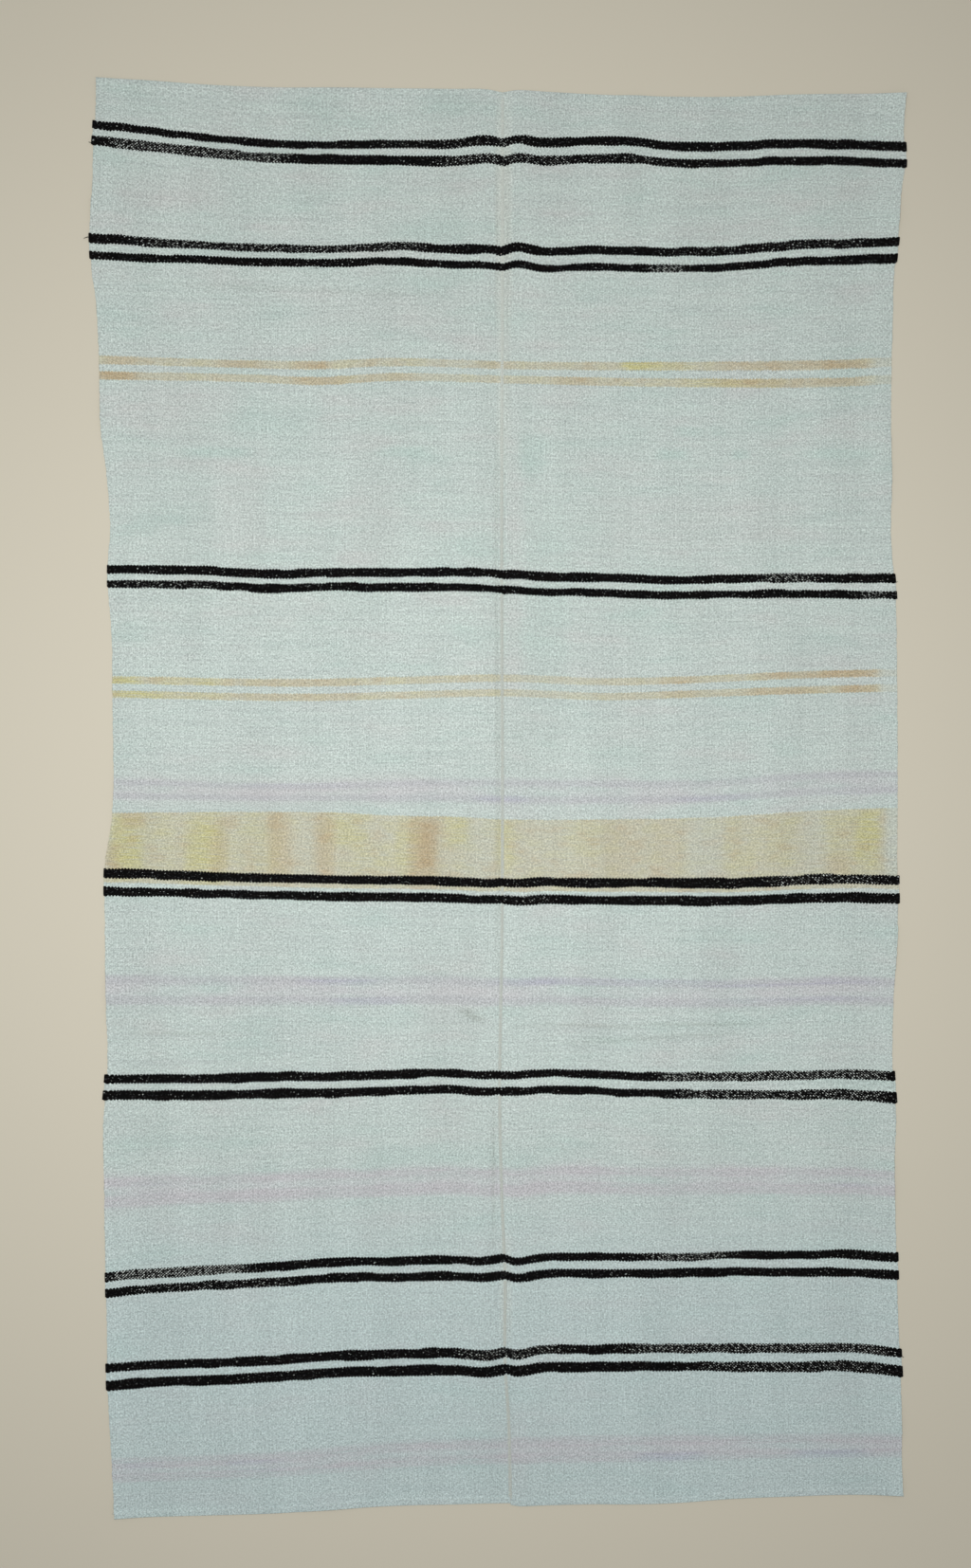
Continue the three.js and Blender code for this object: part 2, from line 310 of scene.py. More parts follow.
seam_across = column_curve(SEAM, "across")
SIDES = {
    "left": {"name": "left", "sign": -1, "places": LEFT_PLACES, "jut": 0},
    "right": {"name": "right", "sign": 1, "places": RIGHT_PLACES, "jut": 1},
}


def weft(up, rise=0.0, jut=0.0):
    """One weft line: how far up it lies at a place across, its rise over the plain cloth, its reach past
    the selvedge, and its name, which is its height at the seam."""
    return {"up": up, "rise": rise, "jut": jut, "name": float(up(SEAM_PLACE))}


def offset(line, by, rise=0.0, jut=0.0):
    """A weft line at a constant distance above another."""
    return weft(lambda across: line["up"](across) + by, rise, jut)


def band_edges(pair, side, above):
    """The upper and the lower edge of one band: the pair's midline, with half the pair's spacing and then
    half the band's breadth added or taken off. above is 1 for the pair's upper band and -1 for its lower
    one."""
    midline = curve_through(side["places"], pair[side["name"]])
    apart = curve_through(ACROSS_PLACES, pair["apart"])
    broad = curve_through(ACROSS_PLACES, pair["upper" if above > 0 else "lower"])
    middle = weft(lambda across: midline(across) + above * apart(across) / 2)
    return (
        weft(lambda across: middle["up"](across) + broad(across) / 2),
        weft(lambda across: middle["up"](across) - broad(across) / 2),
    )


# How much of a band's reach past the selvedge the ground beside it has: outside the pair, and between its
# two bands.
OUTER_JUT_SHARE = 0.35
INNER_JUT_SHARE = 0.8
# The hem's folded end is round: the distances of its rows from the end, and their rise over the plain
# cloth.
HEM_DISTANCES = [0, 0.35, 1.0, 1.8, 6, 11, HEM_DEPTH - 0.6, HEM_DEPTH + 0.8, HEM_DEPTH + 3]
HEM_RISES = [HEM_RISE] * 7 + [0.15, 0.0]


def stripe_line(name):
    """The weft line of a named dyed stripe."""
    return weft(curve_through(STRIPE_LINES[name]["places"], STRIPE_LINES[name]["heights"]))


def ground_lines(side):
    """All weft lines of one panel that its ground follows, from the top end down to the bottom end."""
    ends = {
        "top": weft(curve_through(side["places"], TOP_END[side["name"]])),
        "bottom": weft(curve_through(side["places"], BOTTOM_END[side["name"]])),
    }
    hem = list(zip(HEM_DISTANCES, HEM_RISES))
    lines = [offset(ends["top"], -distance, rise) for distance, rise in hem]
    for index, pair in enumerate(BAND_PAIRS):
        lines += [stripe_line(name) for name in LINES_ABOVE_PAIR.get(index, [])]
        jut = pair["jut"][side["jut"]]
        for above in (1, -1):
            outer, inner = OUTER_JUT_SHARE * jut, INNER_JUT_SHARE * jut
            upper, lower = band_edges(pair, side, above)
            lines.append({**upper, "jut": outer if above > 0 else inner})
            lines.append({**lower, "jut": inner if above > 0 else outer})
    lines += [stripe_line(name) for name in LINES_BELOW_PAIRS]
    return lines + [offset(ends["bottom"], distance, rise) for distance, rise in reversed(hem)]


def rows_along(lines, spacing):
    """The rows of a grid that follows weft lines, no wider apart than the spacing. A row is the index of
    the line above it and its share of the way to the next line."""
    names = np.array([line["name"] for line in lines])
    counts = np.maximum(np.ceil((names[:-1] - names[1:]) / spacing), 1).astype(int)
    line = np.repeat(np.arange(len(counts)), counts)
    share = np.concatenate([np.arange(count) / count for count in counts])
    return {"line": np.append(line, len(counts) - 1), "share": np.append(share, 1.0)}


def along_rows(rows, values):
    """A value of each row, on the straight way from its line's value to the next line's."""
    values = np.asarray(values, float)
    return values[rows["line"]] * (1 - rows["share"]) + values[rows["line"] + 1] * rows["share"]


def rows_up(lines, rows, across):
    """How far up each row lies at its own places across, on the straight way from one weft line to the
    next."""
    up = np.empty_like(across)
    for index in range(len(lines) - 1):
        here = rows["line"] == index
        share = rows["share"][here].reshape(-1, *[1] * (across.ndim - 1))
        above = lines[index]["up"](across[here])
        below = lines[index + 1]["up"](across[here])
        up[here] = above * (1 - share) + below * share
    return up


# The last stretch before the selvedge, in which a weft that reaches further out is drawn out.
JUT_RUN = 16
# The weft lines shift across with the wandering seam, and less and less so over this distance from it.
SEAM_EASE = 38


def cloth_grid(side, lines, rows, distances):
    """Across and up for each row and column. A column lies at its share of the way from the seam edge to
    the selvedge, whose places depend on how far up the row's two ends lie, and the last columns ease out
    to the jut. Near the seam a row's height is that of the weft lines as they shift across with the
    seam."""
    seam_up = rows_up(lines, rows, np.full(len(rows["share"]), float(SEAM_PLACE)))
    edge_up = rows_up(lines, rows, np.full(len(rows["share"]), float(side["sign"] * PANEL_WIDTH)))
    seam_edge = seam_across(seam_up) + side["sign"] * SEAM_GAP / 2
    selvedge = column_curve(SELVEDGES, side["name"])(edge_up)
    jut = side["sign"] * along_rows(rows, [line["jut"] for line in lines])
    ease = np.clip((distances - (PANEL_WIDTH - JUT_RUN)) / JUT_RUN, 0, None) ** 2
    straight = np.outer(selvedge - seam_edge, distances / PANEL_WIDTH)
    across = seam_edge[:, None] + straight + np.outer(jut, ease)
    shift = np.outer(seam_edge - SEAM_PLACE, np.clip(1 - distances / SEAM_EASE, 0, None))
    return across, rows_up(lines, rows, across - shift)


def fullness(distance, radius):
    """How full a rounded edge is at a distance in from its rim: the height of a quarter circle, 1 past
    its radius."""
    return np.sqrt(np.clip(1 - (1 - np.minimum(distance / radius, 1)) ** 2, 0, 1))


def smooth_noise(seed, rows, columns, knots):
    """Seeded unevenness of about unit size on a grid: each row has random values at its knots, and they
    are carried to the columns by weights that fall off linearly."""
    place = np.linspace(0, knots - 1, columns)
    weights = np.clip(1 - np.abs(place[:, None] - np.arange(knots)), 0, None)
    return np.random.default_rng(seed).normal(size=(rows, knots)) @ weights.T


def ring_mesh(name, rings, place, measures, capped):
    """A closed piece from rings of points, an array of stations, points round each ring, and X, Y, Z in
    millimetres. Faces join each ring to the next and go once round. The two end rings are capped by a
    point in their middle, or they are folded flat and only merged. place is each point's place in the
    cloth, and measures are named numbers for each point; both go into the mesh as attributes for the
    materials."""
    stations, around = rings.shape[:2]
    index = np.arange(stations * around).reshape(stations, around)
    following = np.roll(index, -1, axis=1)
    quads = np.stack([index[:-1], following[:-1], following[1:], index[1:]], axis=-1).reshape(-1, 4)
    points = rings.reshape(-1, 3)
    faces = quads.tolist()
    extra = []
    if capped:
        extra = [0, stations - 1]
        points = np.vstack([points, rings[0].mean(axis=0), rings[-1].mean(axis=0)])
        first, last = stations * around, stations * around + 1
        faces += np.stack([following[0], index[0], np.full(around, first)], axis=-1).tolist()
        faces += np.stack([index[-1], following[-1], np.full(around, last)], axis=-1).tolist()
    mesh = bpy.data.meshes.new(name)
    mesh.from_pydata((points * MM).tolist(), [], faces)
    grids = {"cloth_place": place * MM, **measures}
    for title, grid in grids.items():
        values = grid.reshape(stations * around, -1)
        values = np.vstack([values] + [grid[station].reshape(around, -1).mean(axis=0) for station in extra])
        vector = values.shape[1] == 3
        attribute = mesh.attributes.new(title, "FLOAT_VECTOR" if vector else "FLOAT", "POINT")
        attribute.data.foreach_set("vector" if vector else "value", values.astype(np.float32).ravel())
    piece = bpy.data.objects.new(name, mesh)
    bpy.context.scene.collection.objects.link(piece)
    return piece


def tidy_mesh(piece, merge=1e-6):
    """Merges points that coincide, turns the faces outward and shades them smooth."""
    import bmesh

    shape = bmesh.new()
    shape.from_mesh(piece.data)
    bmesh.ops.remove_doubles(shape, verts=shape.verts, dist=merge)
    bmesh.ops.recalc_face_normals(shape, faces=shape.faces)
    shape.to_mesh(piece.data)
    shape.free()
    piece.data.shade_smooth()


# The ground's grid: the widest space between rows, the distances of the columns from the seam and,
# counted back, from the selvedge, and the space between the columns in the middle.
GROUND_ROW_SPACING = 8.0
SEAM_DISTANCES = [0, 0.2, 0.6, 2.0, 3.5, 5.5, 8, 11, 15, 20, 27, 36]
SELVEDGE_DISTANCES = [36, 26, 18, 12, 8, 5, 3, 1.8, 1.0, 0.35, 0]
MIDDLE_COLUMNS = 62
SELVEDGE_RADIUS = 1.0
SEAM_EDGE_RADIUS = 0.45
HEM_RADIUS = 1.8
# The relief of the weave that is large enough to model: thick and thin picks.
PICK_RELIEF = 0.05
PICK_KNOTS = 22
SELVEDGE_WAVER = 0.5
SEAM_FURROW = {"middle": 13, "half": 7, "depth": 0.25}

ground_distances = np.concatenate(
    [
        SEAM_DISTANCES[:-1],
        np.linspace(SEAM_DISTANCES[-1], PANEL_WIDTH - SELVEDGE_DISTANCES[0], MIDDLE_COLUMNS),
        PANEL_WIDTH - np.array(SELVEDGE_DISTANCES[1:]),
    ]
)


def make_ground(side, seed):
    """One panel's ground weave as a closed sheet. Each row of the grid is a ring: out along the upper
    face from the seam to the selvedge and back along the underside. The faces meet in a round rim at the
    selvedges and hems."""
    lines = ground_lines(side)
    rows = rows_along(lines, GROUND_ROW_SPACING)
    across, up = cloth_grid(side, lines, rows, ground_distances)
    names = along_rows(rows, [line["name"] for line in lines])
    row_count, column_count = across.shape

    from_rim = np.minimum(ground_distances, PANEL_WIDTH - ground_distances)
    from_end = np.minimum(names[0] - names, names - names[-1])
    selvedge_full = fullness(PANEL_WIDTH - ground_distances, SELVEDGE_RADIUS)
    rim_full = np.minimum(selvedge_full, fullness(ground_distances, SEAM_EDGE_RADIUS))
    full = np.minimum(fullness(from_end, HEM_RADIUS)[:, None], rim_full[None, :])
    calm = np.clip((from_rim - 2) / 20, 0, 1)[None, :] * np.clip((from_end - 2) / 20, 0, 1)[:, None]

    ridge = SEAM_RISE * np.cos(np.pi / 2 * np.minimum(ground_distances / SEAM_RIDGE, 1)) ** 2
    from_furrow = np.minimum(np.abs(ground_distances - SEAM_FURROW["middle"]) / SEAM_FURROW["half"], 1)
    furrow = SEAM_FURROW["depth"] * np.cos(np.pi / 2 * from_furrow) ** 2
    picks = PICK_RELIEF * np.clip(smooth_noise(seed, row_count, column_count, PICK_KNOTS), -1.6, 1.6)
    thickness = CLOTH_THICKNESS + along_rows(rows, [line["rise"] for line in lines])[:, None]
    thickness = thickness + (ridge - furrow)[None, :] + picks * calm
    lift = lift_at(across, up) + UNDERSIDE

    waver = SELVEDGE_WAVER * smooth_noise(seed + 2, row_count, 2, 2)[:, 0]
    near_rim = np.clip(1 - (PANEL_WIDTH - ground_distances) / JUT_RUN, 0, 1) ** 2
    across = across + side["sign"] * waver[:, None] * near_rim[None, :]

    upper = lift + thickness * (0.5 + 0.5 * full)
    lower = lift + thickness * (0.5 - 0.5 * full)
    nominal = np.broadcast_to(side["sign"] * ground_distances, across.shape)
    named = np.broadcast_to(names[:, None], across.shape)
    inner = slice(-2, 0, -1)

    def ring(top, bottom):
        return np.concatenate([top, bottom[:, inner]], axis=1)

    rings = np.stack([ring(across, across), ring(up, up), ring(upper, lower)], axis=-1)
    place = np.stack([ring(nominal, nominal), ring(named, named), np.zeros_like(ring(up, up))], axis=-1)
    return rings, place


# The dyed stripes, woven in flush with the ground: the named height and half the breadth of each.
STRIPES = {
    "gold": [(1065, 9.5), (1030, 9.5), (296, 9.0), (260, 9.0), (-139, 88)],
    "lilac": [(38, 8), (-2, 9), (-450, 10), (-498, 10)],
    "rose": [(-916, 10), (-958, 14), (-1583, 13), (-1622, 12)],
    "pink": [(18, 30), (-474, 32), (-937, 36), (-1602, 20)],
}
# Past this distance a stripe isn't felt at all.
FAR_FROM_STRIPE = 60


def dye_patch(across, up, patch):
    """How strongly one patch of dye is felt at each place: full over most of its turned length and width,
    and then falling off fast to its edges."""
    turn = np.radians(patch["turn"])
    x = across - patch["across"]
    y = up - patch["up"]
    lengthwise = np.minimum(np.abs(x * np.cos(turn) + y * np.sin(turn)) / patch["reach"], 1)
    crosswise = np.minimum(np.abs(y * np.cos(turn) - x * np.sin(turn)) / patch["spread"], 1)
    return patch["strength"] * ((1 - lengthwise**4) * (1 - crosswise**4)) ** 2


# The uneven take of the dyes, drifting tints, marks of soil and stains of use, painted shade along the seam
# and the creases, and a painted lighter strip beside the seam, as soft patches. Each holds across, up, half
# its length, half its width, the turn of its length in degrees, and its strength.
DYE_PATCHES = {
    "yellow": [
        (-915, -115, 50, 100, 0, 0.9),
        (-728, -125, 62, 110, 0, 0.8),
        (-385, -75, 70, 60, 0, 0.45),
        (-320, -150, 60, 60, 0, 0.3),
        (-228, -120, 40, 100, 0, 0.5),
        (-113, -75, 45, 60, 0, 0.5),
        (8, -110, 30, 80, 0, 0.45),
        (200, -90, 60, 60, 0, 0.25),
        (572, -85, 30, 80, 0, 0.2),
        (592, -160, 45, 40, 0, 0.25),
        (690, -105, 50, 80, 0, 0.3),
        (830, -95, 46, 90, 0, 0.35),
        (904, -95, 44, 90, 0, 0.85),
        (-840, -115, 60, 110, 0, 0.25),
        (-600, -115, 80, 110, 0, 0.25),
        (342, 1068, 62, 18, 0, 1.0),
        (430, 1066, 60, 18, 0, 0.5),
        (560, 1028, 150, 18, 0, 0.5),
        (-930, 289, 60, 18, 0, 0.9),
        (-900, 255, 80, 18, 0, 0.8),
        (-760, 270, 120, 45, 0, 0.4),
    ],
    "amber": [
        (-899, -48, 40, 30, 0, 0.5),
        (-950, -150, 26, 60, 0, 0.35),
        (-690, -130, 30, 90, 0, 0.35),
        (-544, -115, 38, 120, 0, 0.5),
        (-433, -120, 34, 110, 0, 0.5),
        (-192, -125, 48, 120, 0, 0.7),
        (-183, -110, 24, 60, 0, 0.35),
        (285, -125, 45, 110, 0, 0.2),
        (405, -125, 50, 110, 0, 0.15),
        (830, -165, 45, 35, 0, 0.4),
        (-935, 1030, 58, 18, 0, 1.0),
        (-930, 1068, 50, 18, 0, 0.5),
        (-640, 1060, 70, 18, 0, 0.5),
        (-465, 1060, 60, 18, 0, 0.6),
        (-440, 1023, 90, 18, 0, 0.6),
        (-260, 1034, 60, 18, 0, 0.3),
        (-20, 1065, 60, 18, 0, 0.4),
        (180, 1030, 70, 18, 0, 0.4),
        (620, 1030, 120, 18, 0, 0.5),
        (700, 1066, 200, 18, 0, 0.4),
        (850, 1076, 80, 18, 0, 0.6),
        (820, 1036, 90, 18, 0, 0.5),
        (-500, 270, 180, 45, 0, 0.3),
        (440, 275, 60, 45, 0, 0.4),
        (720, 300, 120, 18, 0, 0.5),
        (855, 310, 90, 18, 0, 0.9),
        (700, 262, 130, 18, 0, 0.6),
        (880, 270, 70, 18, 0, 0.7),
    ],
    "faded": [
        (-965, -75, 24, 50, 0, 0.2),
        (-840, -115, 55, 120, 0, 0.1),
        (-622, -115, 55, 130, 0, 0.1),
        (-484, -120, 36, 130, 0, 0.1),
        (-310, -130, 60, 90, 0, 0.1),
        (-55, -120, 50, 120, 0, 0.25),
        (120, -90, 90, 110, 0, 0.15),
        (500, -120, 60, 120, 0, 0.35),
        (778, -110, 40, 120, 0, 0.25),
        (975, -90, 30, 140, 0, 0.7),
        (965, 1060, 60, 70, 0, 0.7),
        (975, 290, 50, 70, 0, 0.9),
        (120, 275, 130, 50, 0, 0.35),
        (-120, 1050, 120, 50, 0, 0.3),
    ],
    "aqua": [
        (-700, 845, 110, 16, 0, 0.5),
        (-520, 880, 60, 60, 90, 0.15),
        (-230, 850, 90, 18, 0, 0.35),
        (75, 850, 45, 70, 0, 0.35),
        (420, 850, 50, 18, 0, 0.5),
        (460, 905, 40, 14, 0, 0.35),
        (590, 850, 30, 16, 0, 0.5),
        (840, 852, 110, 16, 0, 0.4),
        (-560, 930, 160, 40, 0, 0.2),
        (-800, 700, 120, 30, 0, 0.15),
        (120, 470, 60, 300, 0, 0.25),
        (-150, -870, 240, 30, 0, 0.3),
        (-60, -1600, 70, 60, 0, 0.4),
        (66, 560, 16, 420, 0, 0.15),
    ],
    "cool": [
        (0, -1750, 3000, 900, 0, 0.8),
        (0, -1750, 3000, 2000, 0, 0.2),
    ],
    "violet": [
        (-600, -1628, 90, 16, 0, 1.0),
        (-400, -450, 120, 14, 0, 0.6),
        (-330, -498, 110, 14, 0, 0.6),
        (60, -450, 110, 14, 0, 0.5),
        (700, -478, 260, 30, 0, 0.6),
        (890, 2, 90, 14, 0, 0.7),
        (0, 2, 80, 14, 0, 0.7),
        (520, 2, 120, 14, 0, 0.4),
        (-500, 40, 160, 14, 0, 0.5),
        (-880, -1632, 60, 16, 0, 0.5),
        (415, -1622, 110, 16, 0, 1.0),
        (815, -1622, 120, 16, 0, 0.9),
        (-850, -950, 60, 16, 0, 0.4),
        (880, -950, 80, 16, 0, 0.5),
        (300, -450, 300, 14, 0, 0.4),
        (850, -450, 110, 14, 0, 0.5),
    ],
    "blush": [
        (-780, 960, 170, 110, 0, 0.4),
        (-640, 700, 80, 200, 0, 0.3),
        (-320, 660, 90, 160, 0, 0.25),
        (30, 600, 24, 460, 0, 0.35),
        (500, 690, 300, 80, 0, 0.35),
        (-800, 1480, 160, 60, 0, 0.4),
        (100, 300, 60, 260, 90, 0.3),
        (-560, 20, 420, 50, 0, 0.5),
        (-300, 1200, 260, 60, 0, 0.3),
        (40, -1610, 30, 130, 0, 0.6),
        (150, -1595, 300, 30, 0, 0.5),
        (-120, -520, 120, 60, 0, 0.4),
    ],
    # Soil and painted shade: the thin dark lines on both sides of the seam and along the creases under pair
    # 2 and above pair 5 are painted shade; the other marks and spots are soil.
    "soil_and_painted_shade": [
        (-20, -920, 5, 230, 0, 0.55),
        (-14, 600, 6, 380, 0, 0.4),
        (-10, -30, 8, 500, 0, 0.45),
        (-12, 1400, 5, 300, 0, 0.3),
        (14, 1300, 5, 400, 0, 0.3),
        (-70, -535, 34, 9, -25, 1.0),
        (-90, -520, 12, 8, 0, 0.6),
        (-500, 1245, 420, 9, -2, 0.3),
        (370, -590, 260, 9, 3, 0.4),
        (350, -559, 380, 5, 0, 0.6),
        (-780, -573, 160, 6, 0, 0.45),
        (860, 1650, 5, 5, 0, 1.0),
        (148, -862, 5, 5, 0, 1.0),
    ],
    # Painted light: the ground paler in a strip on both sides of the seam.
    "thread glow": [
        (5, 1450, 26, 330, 0, 0.9),
        (4, 1000, 20, 260, 0, 0.5),
        (4, 450, 14, 200, 0, 0.2),
        (10, -1200, 18, 160, 0, 0.6),
    ],
}
PATCH_COLUMNS = ("across", "up", "reach", "spread", "turn", "strength")


def dye_measures(rings, place):
    """For each point, how deep inside the nearest stripe of each dye it lies, in millimetres, and how
    strongly each kind of patch is felt."""
    across, up, named = rings[..., 0], rings[..., 1], place[..., 1]
    measures = {}
    for dye, stripes in STRIPES.items():
        depths = [half - np.abs(named - middle) for middle, half in stripes]
        measures[dye + "_depth"] = np.clip(np.max(depths, axis=0), -FAR_FROM_STRIPE, FAR_FROM_STRIPE)
    for dye, patches in DYE_PATCHES.items():
        felt = sum(dye_patch(across, up, dict(zip(PATCH_COLUMNS, patch))) for patch in patches)
        measures[dye.replace(" ", "_")] = np.clip(felt, 0, 1)
    return measures


# The two hemp panels: their cloth.
# Undyed hemp, spun by hand and woven by hand, then washed and laid in the sun until it is a cool, dull
# grey-white. To the eye that is a matt, slightly fuzzy surface with streaks along the weft and a grain of
# small beads.


def linear(hex_colour):
    """An sRGB hex colour as linear red, green, blue and a full alpha."""
    coded = np.array([int(hex_colour[start : start + 2], 16) for start in (1, 3, 5)]) / 255
    bright = np.where(coded <= 0.04045, coded / 12.92, ((coded + 0.055) / 1.055) ** 2.4)
    return (*bright.tolist(), 1.0)


def add_node(tree, kind, inputs=(), output=0, **settings):
    """Adds one shader node and gives one of its outputs, by name or number. inputs fills its sockets, in
    order or by name or number, each with a value or with an output that is linked to it. settings are
    the node's own properties."""
    node = tree.nodes.new("ShaderNode" + kind)
    for title, value in settings.items():
        setattr(node, title, value)
    sockets = inputs.items() if isinstance(inputs, dict) else enumerate(inputs)
    for socket, value in sockets:
        if isinstance(value, bpy.types.NodeSocket):
            tree.links.new(value, node.inputs[socket])
        else:
            node.inputs[socket].default_value = value
    return node.outputs[output]


def new_material(name, roughness, specular, sheen=0.0):
    """A material with one surface shader: the material, the function that adds a node to it, and the
    function that links its finished colour and its height, which is in metres at full strength."""
    material = bpy.data.materials.new(name)
    material.use_nodes = True
    tree = material.node_tree
    shader = tree.nodes["Principled BSDF"]
    shader.inputs["Roughness"].default_value = roughness
    shader.inputs["Specular IOR Level"].default_value = specular
    shader.inputs["Sheen Weight"].default_value = sheen
    shader.inputs["Sheen Roughness"].default_value = 0.6

    def finish(colour, height, strength, distance):
        bump = add_node(tree, "Bump", {"Height": height, "Strength": strength, "Distance": distance})
        tree.links.new(colour, shader.inputs["Base Color"])
        tree.links.new(bump, shader.inputs["Normal"])
        return material

    return partial(add_node, tree), finish


def cloth_noises(node, place, table):
    """The noises that a table names, each drawn out by its repeats a metre across and up the cloth."""
    noises = {}
    for name, entry in table.items():
        noise = dict(zip(NOISE_COLUMNS, entry))
        drawn = node("Mapping", {"Vector": place, "Scale": (noise["across"], noise["up"], 1)})
        grain = {"Vector": drawn, "Scale": 1.0, "Detail": noise["detail"], "Roughness": noise["roughness"]}
        noises[name] = node("TexNoise", grain, output="Fac")
    return noises


NOISE_COLUMNS = ("across", "up", "detail", "roughness")
# Settings that many nodes share: a range with soft ends, the sum after a product, and a mix of colours,
# whose sockets have these numbers.
SOFT = {"interpolation_type": "SMOOTHSTEP"}
TIMES = {"operation": "MULTIPLY"}
TIMES_PLUS = {"operation": "MULTIPLY_ADD"}
MIX_FACTOR, MIX_FIRST, MIX_SECOND, MIX_RESULT = 0, 6, 7, 2
BLEND = {"data_type": "RGBA", "output": MIX_RESULT}

# The real spacing of the warp and of the weft picks. A bead of weft passes over one warp and under the
# next, so beads repeat every two warps and every two picks.
WARP_PITCH = 3.85
PICK_PITCH = 1.6
# How far warps and picks stray from even spacing, in pitches; the slant of a bead, in beads for each
# warp; and how much the beads differ in brightness.
WARP_STRAY = 1.2
PICK_STRAY = 2.4
BEAD_SLANT = 0.3
BEAD_VARIETY = 0.14
# How much a bead's roundness and its dive under the next warp lower its edges and darken them as painted
# shade.
SECTION_DROP = -3.8
DIVE_DROP = -3.2

HEMP = linear("#cddad3")
HEMP_SHADE = linear("#c2cdc8")
HEMP_LIGHT = linear("#d8e1dc")
HEMP_COOL = linear("#c0d6da")
STRAW_GOLD = linear("#cac8b2")
YELLOW_GOLD = linear("#cbc790")
AMBER_GOLD = linear("#c0ab86")
LILAC = linear("#bcbdc1")
PINK = linear("#cfcacf")
VIOLET = linear("#a6a2be")
ROSE = linear("#c3bac1")
AQUA = linear("#b4d0c6")
BLUSH = linear("#d0cbc9")
# A grey-green for soil, and for the painted shade beside the seam and in the creases.
SOIL_AND_PAINTED_SHADE = linear("#8f958a")
# The colour of the painted light beside the seam.
SEAM_PAINTED_LIGHT = linear("#d5d9cf")

# The yarn is lighter and darker in long and short streaks, fibres stand out of it, and a faint line runs
# down every few warps. Picks differ in how they took the dye, and the cloth's shade drifts over the rug.
HEMP_NOISES = {
    "warp stray": (34, 12, 1.0, 0.5),
    "pick stray": (26, 60, 2.0, 0.5),
    "long streaks": (3.0, 170, 3.0, 0.6),
    "short streaks": (22, 420, 2.0, 0.6),
    "warp lines": (190, 2.5, 2.0, 0.6),
    "fibres": (300, 900, 2.0, 0.6),
    "columns": (9, 0.9, 2.0, 0.5),
    "drift": (4, 14, 3.0, 0.55),
    "stripe edge": (45, 8, 3.0, 0.5),
    "picks": (16, 330, 2.0, 0.6),
    "blotches": (17, 34, 2.0, 0.5),
    "grain": (215, 225, 3.0, 0.75),
    "flecks": (70, 520, 1.0, 0.5),
}
# How far the edge of a dyed stripe strays with the yarn, and how far each dye spreads to both sides of it.
STRIPE_EDGE_STRAY = 5.0
STRIPE_SOFTNESS = {"gold": 1.6, "pink": 12.0, "lilac": 5.0, "rose": 6.0}


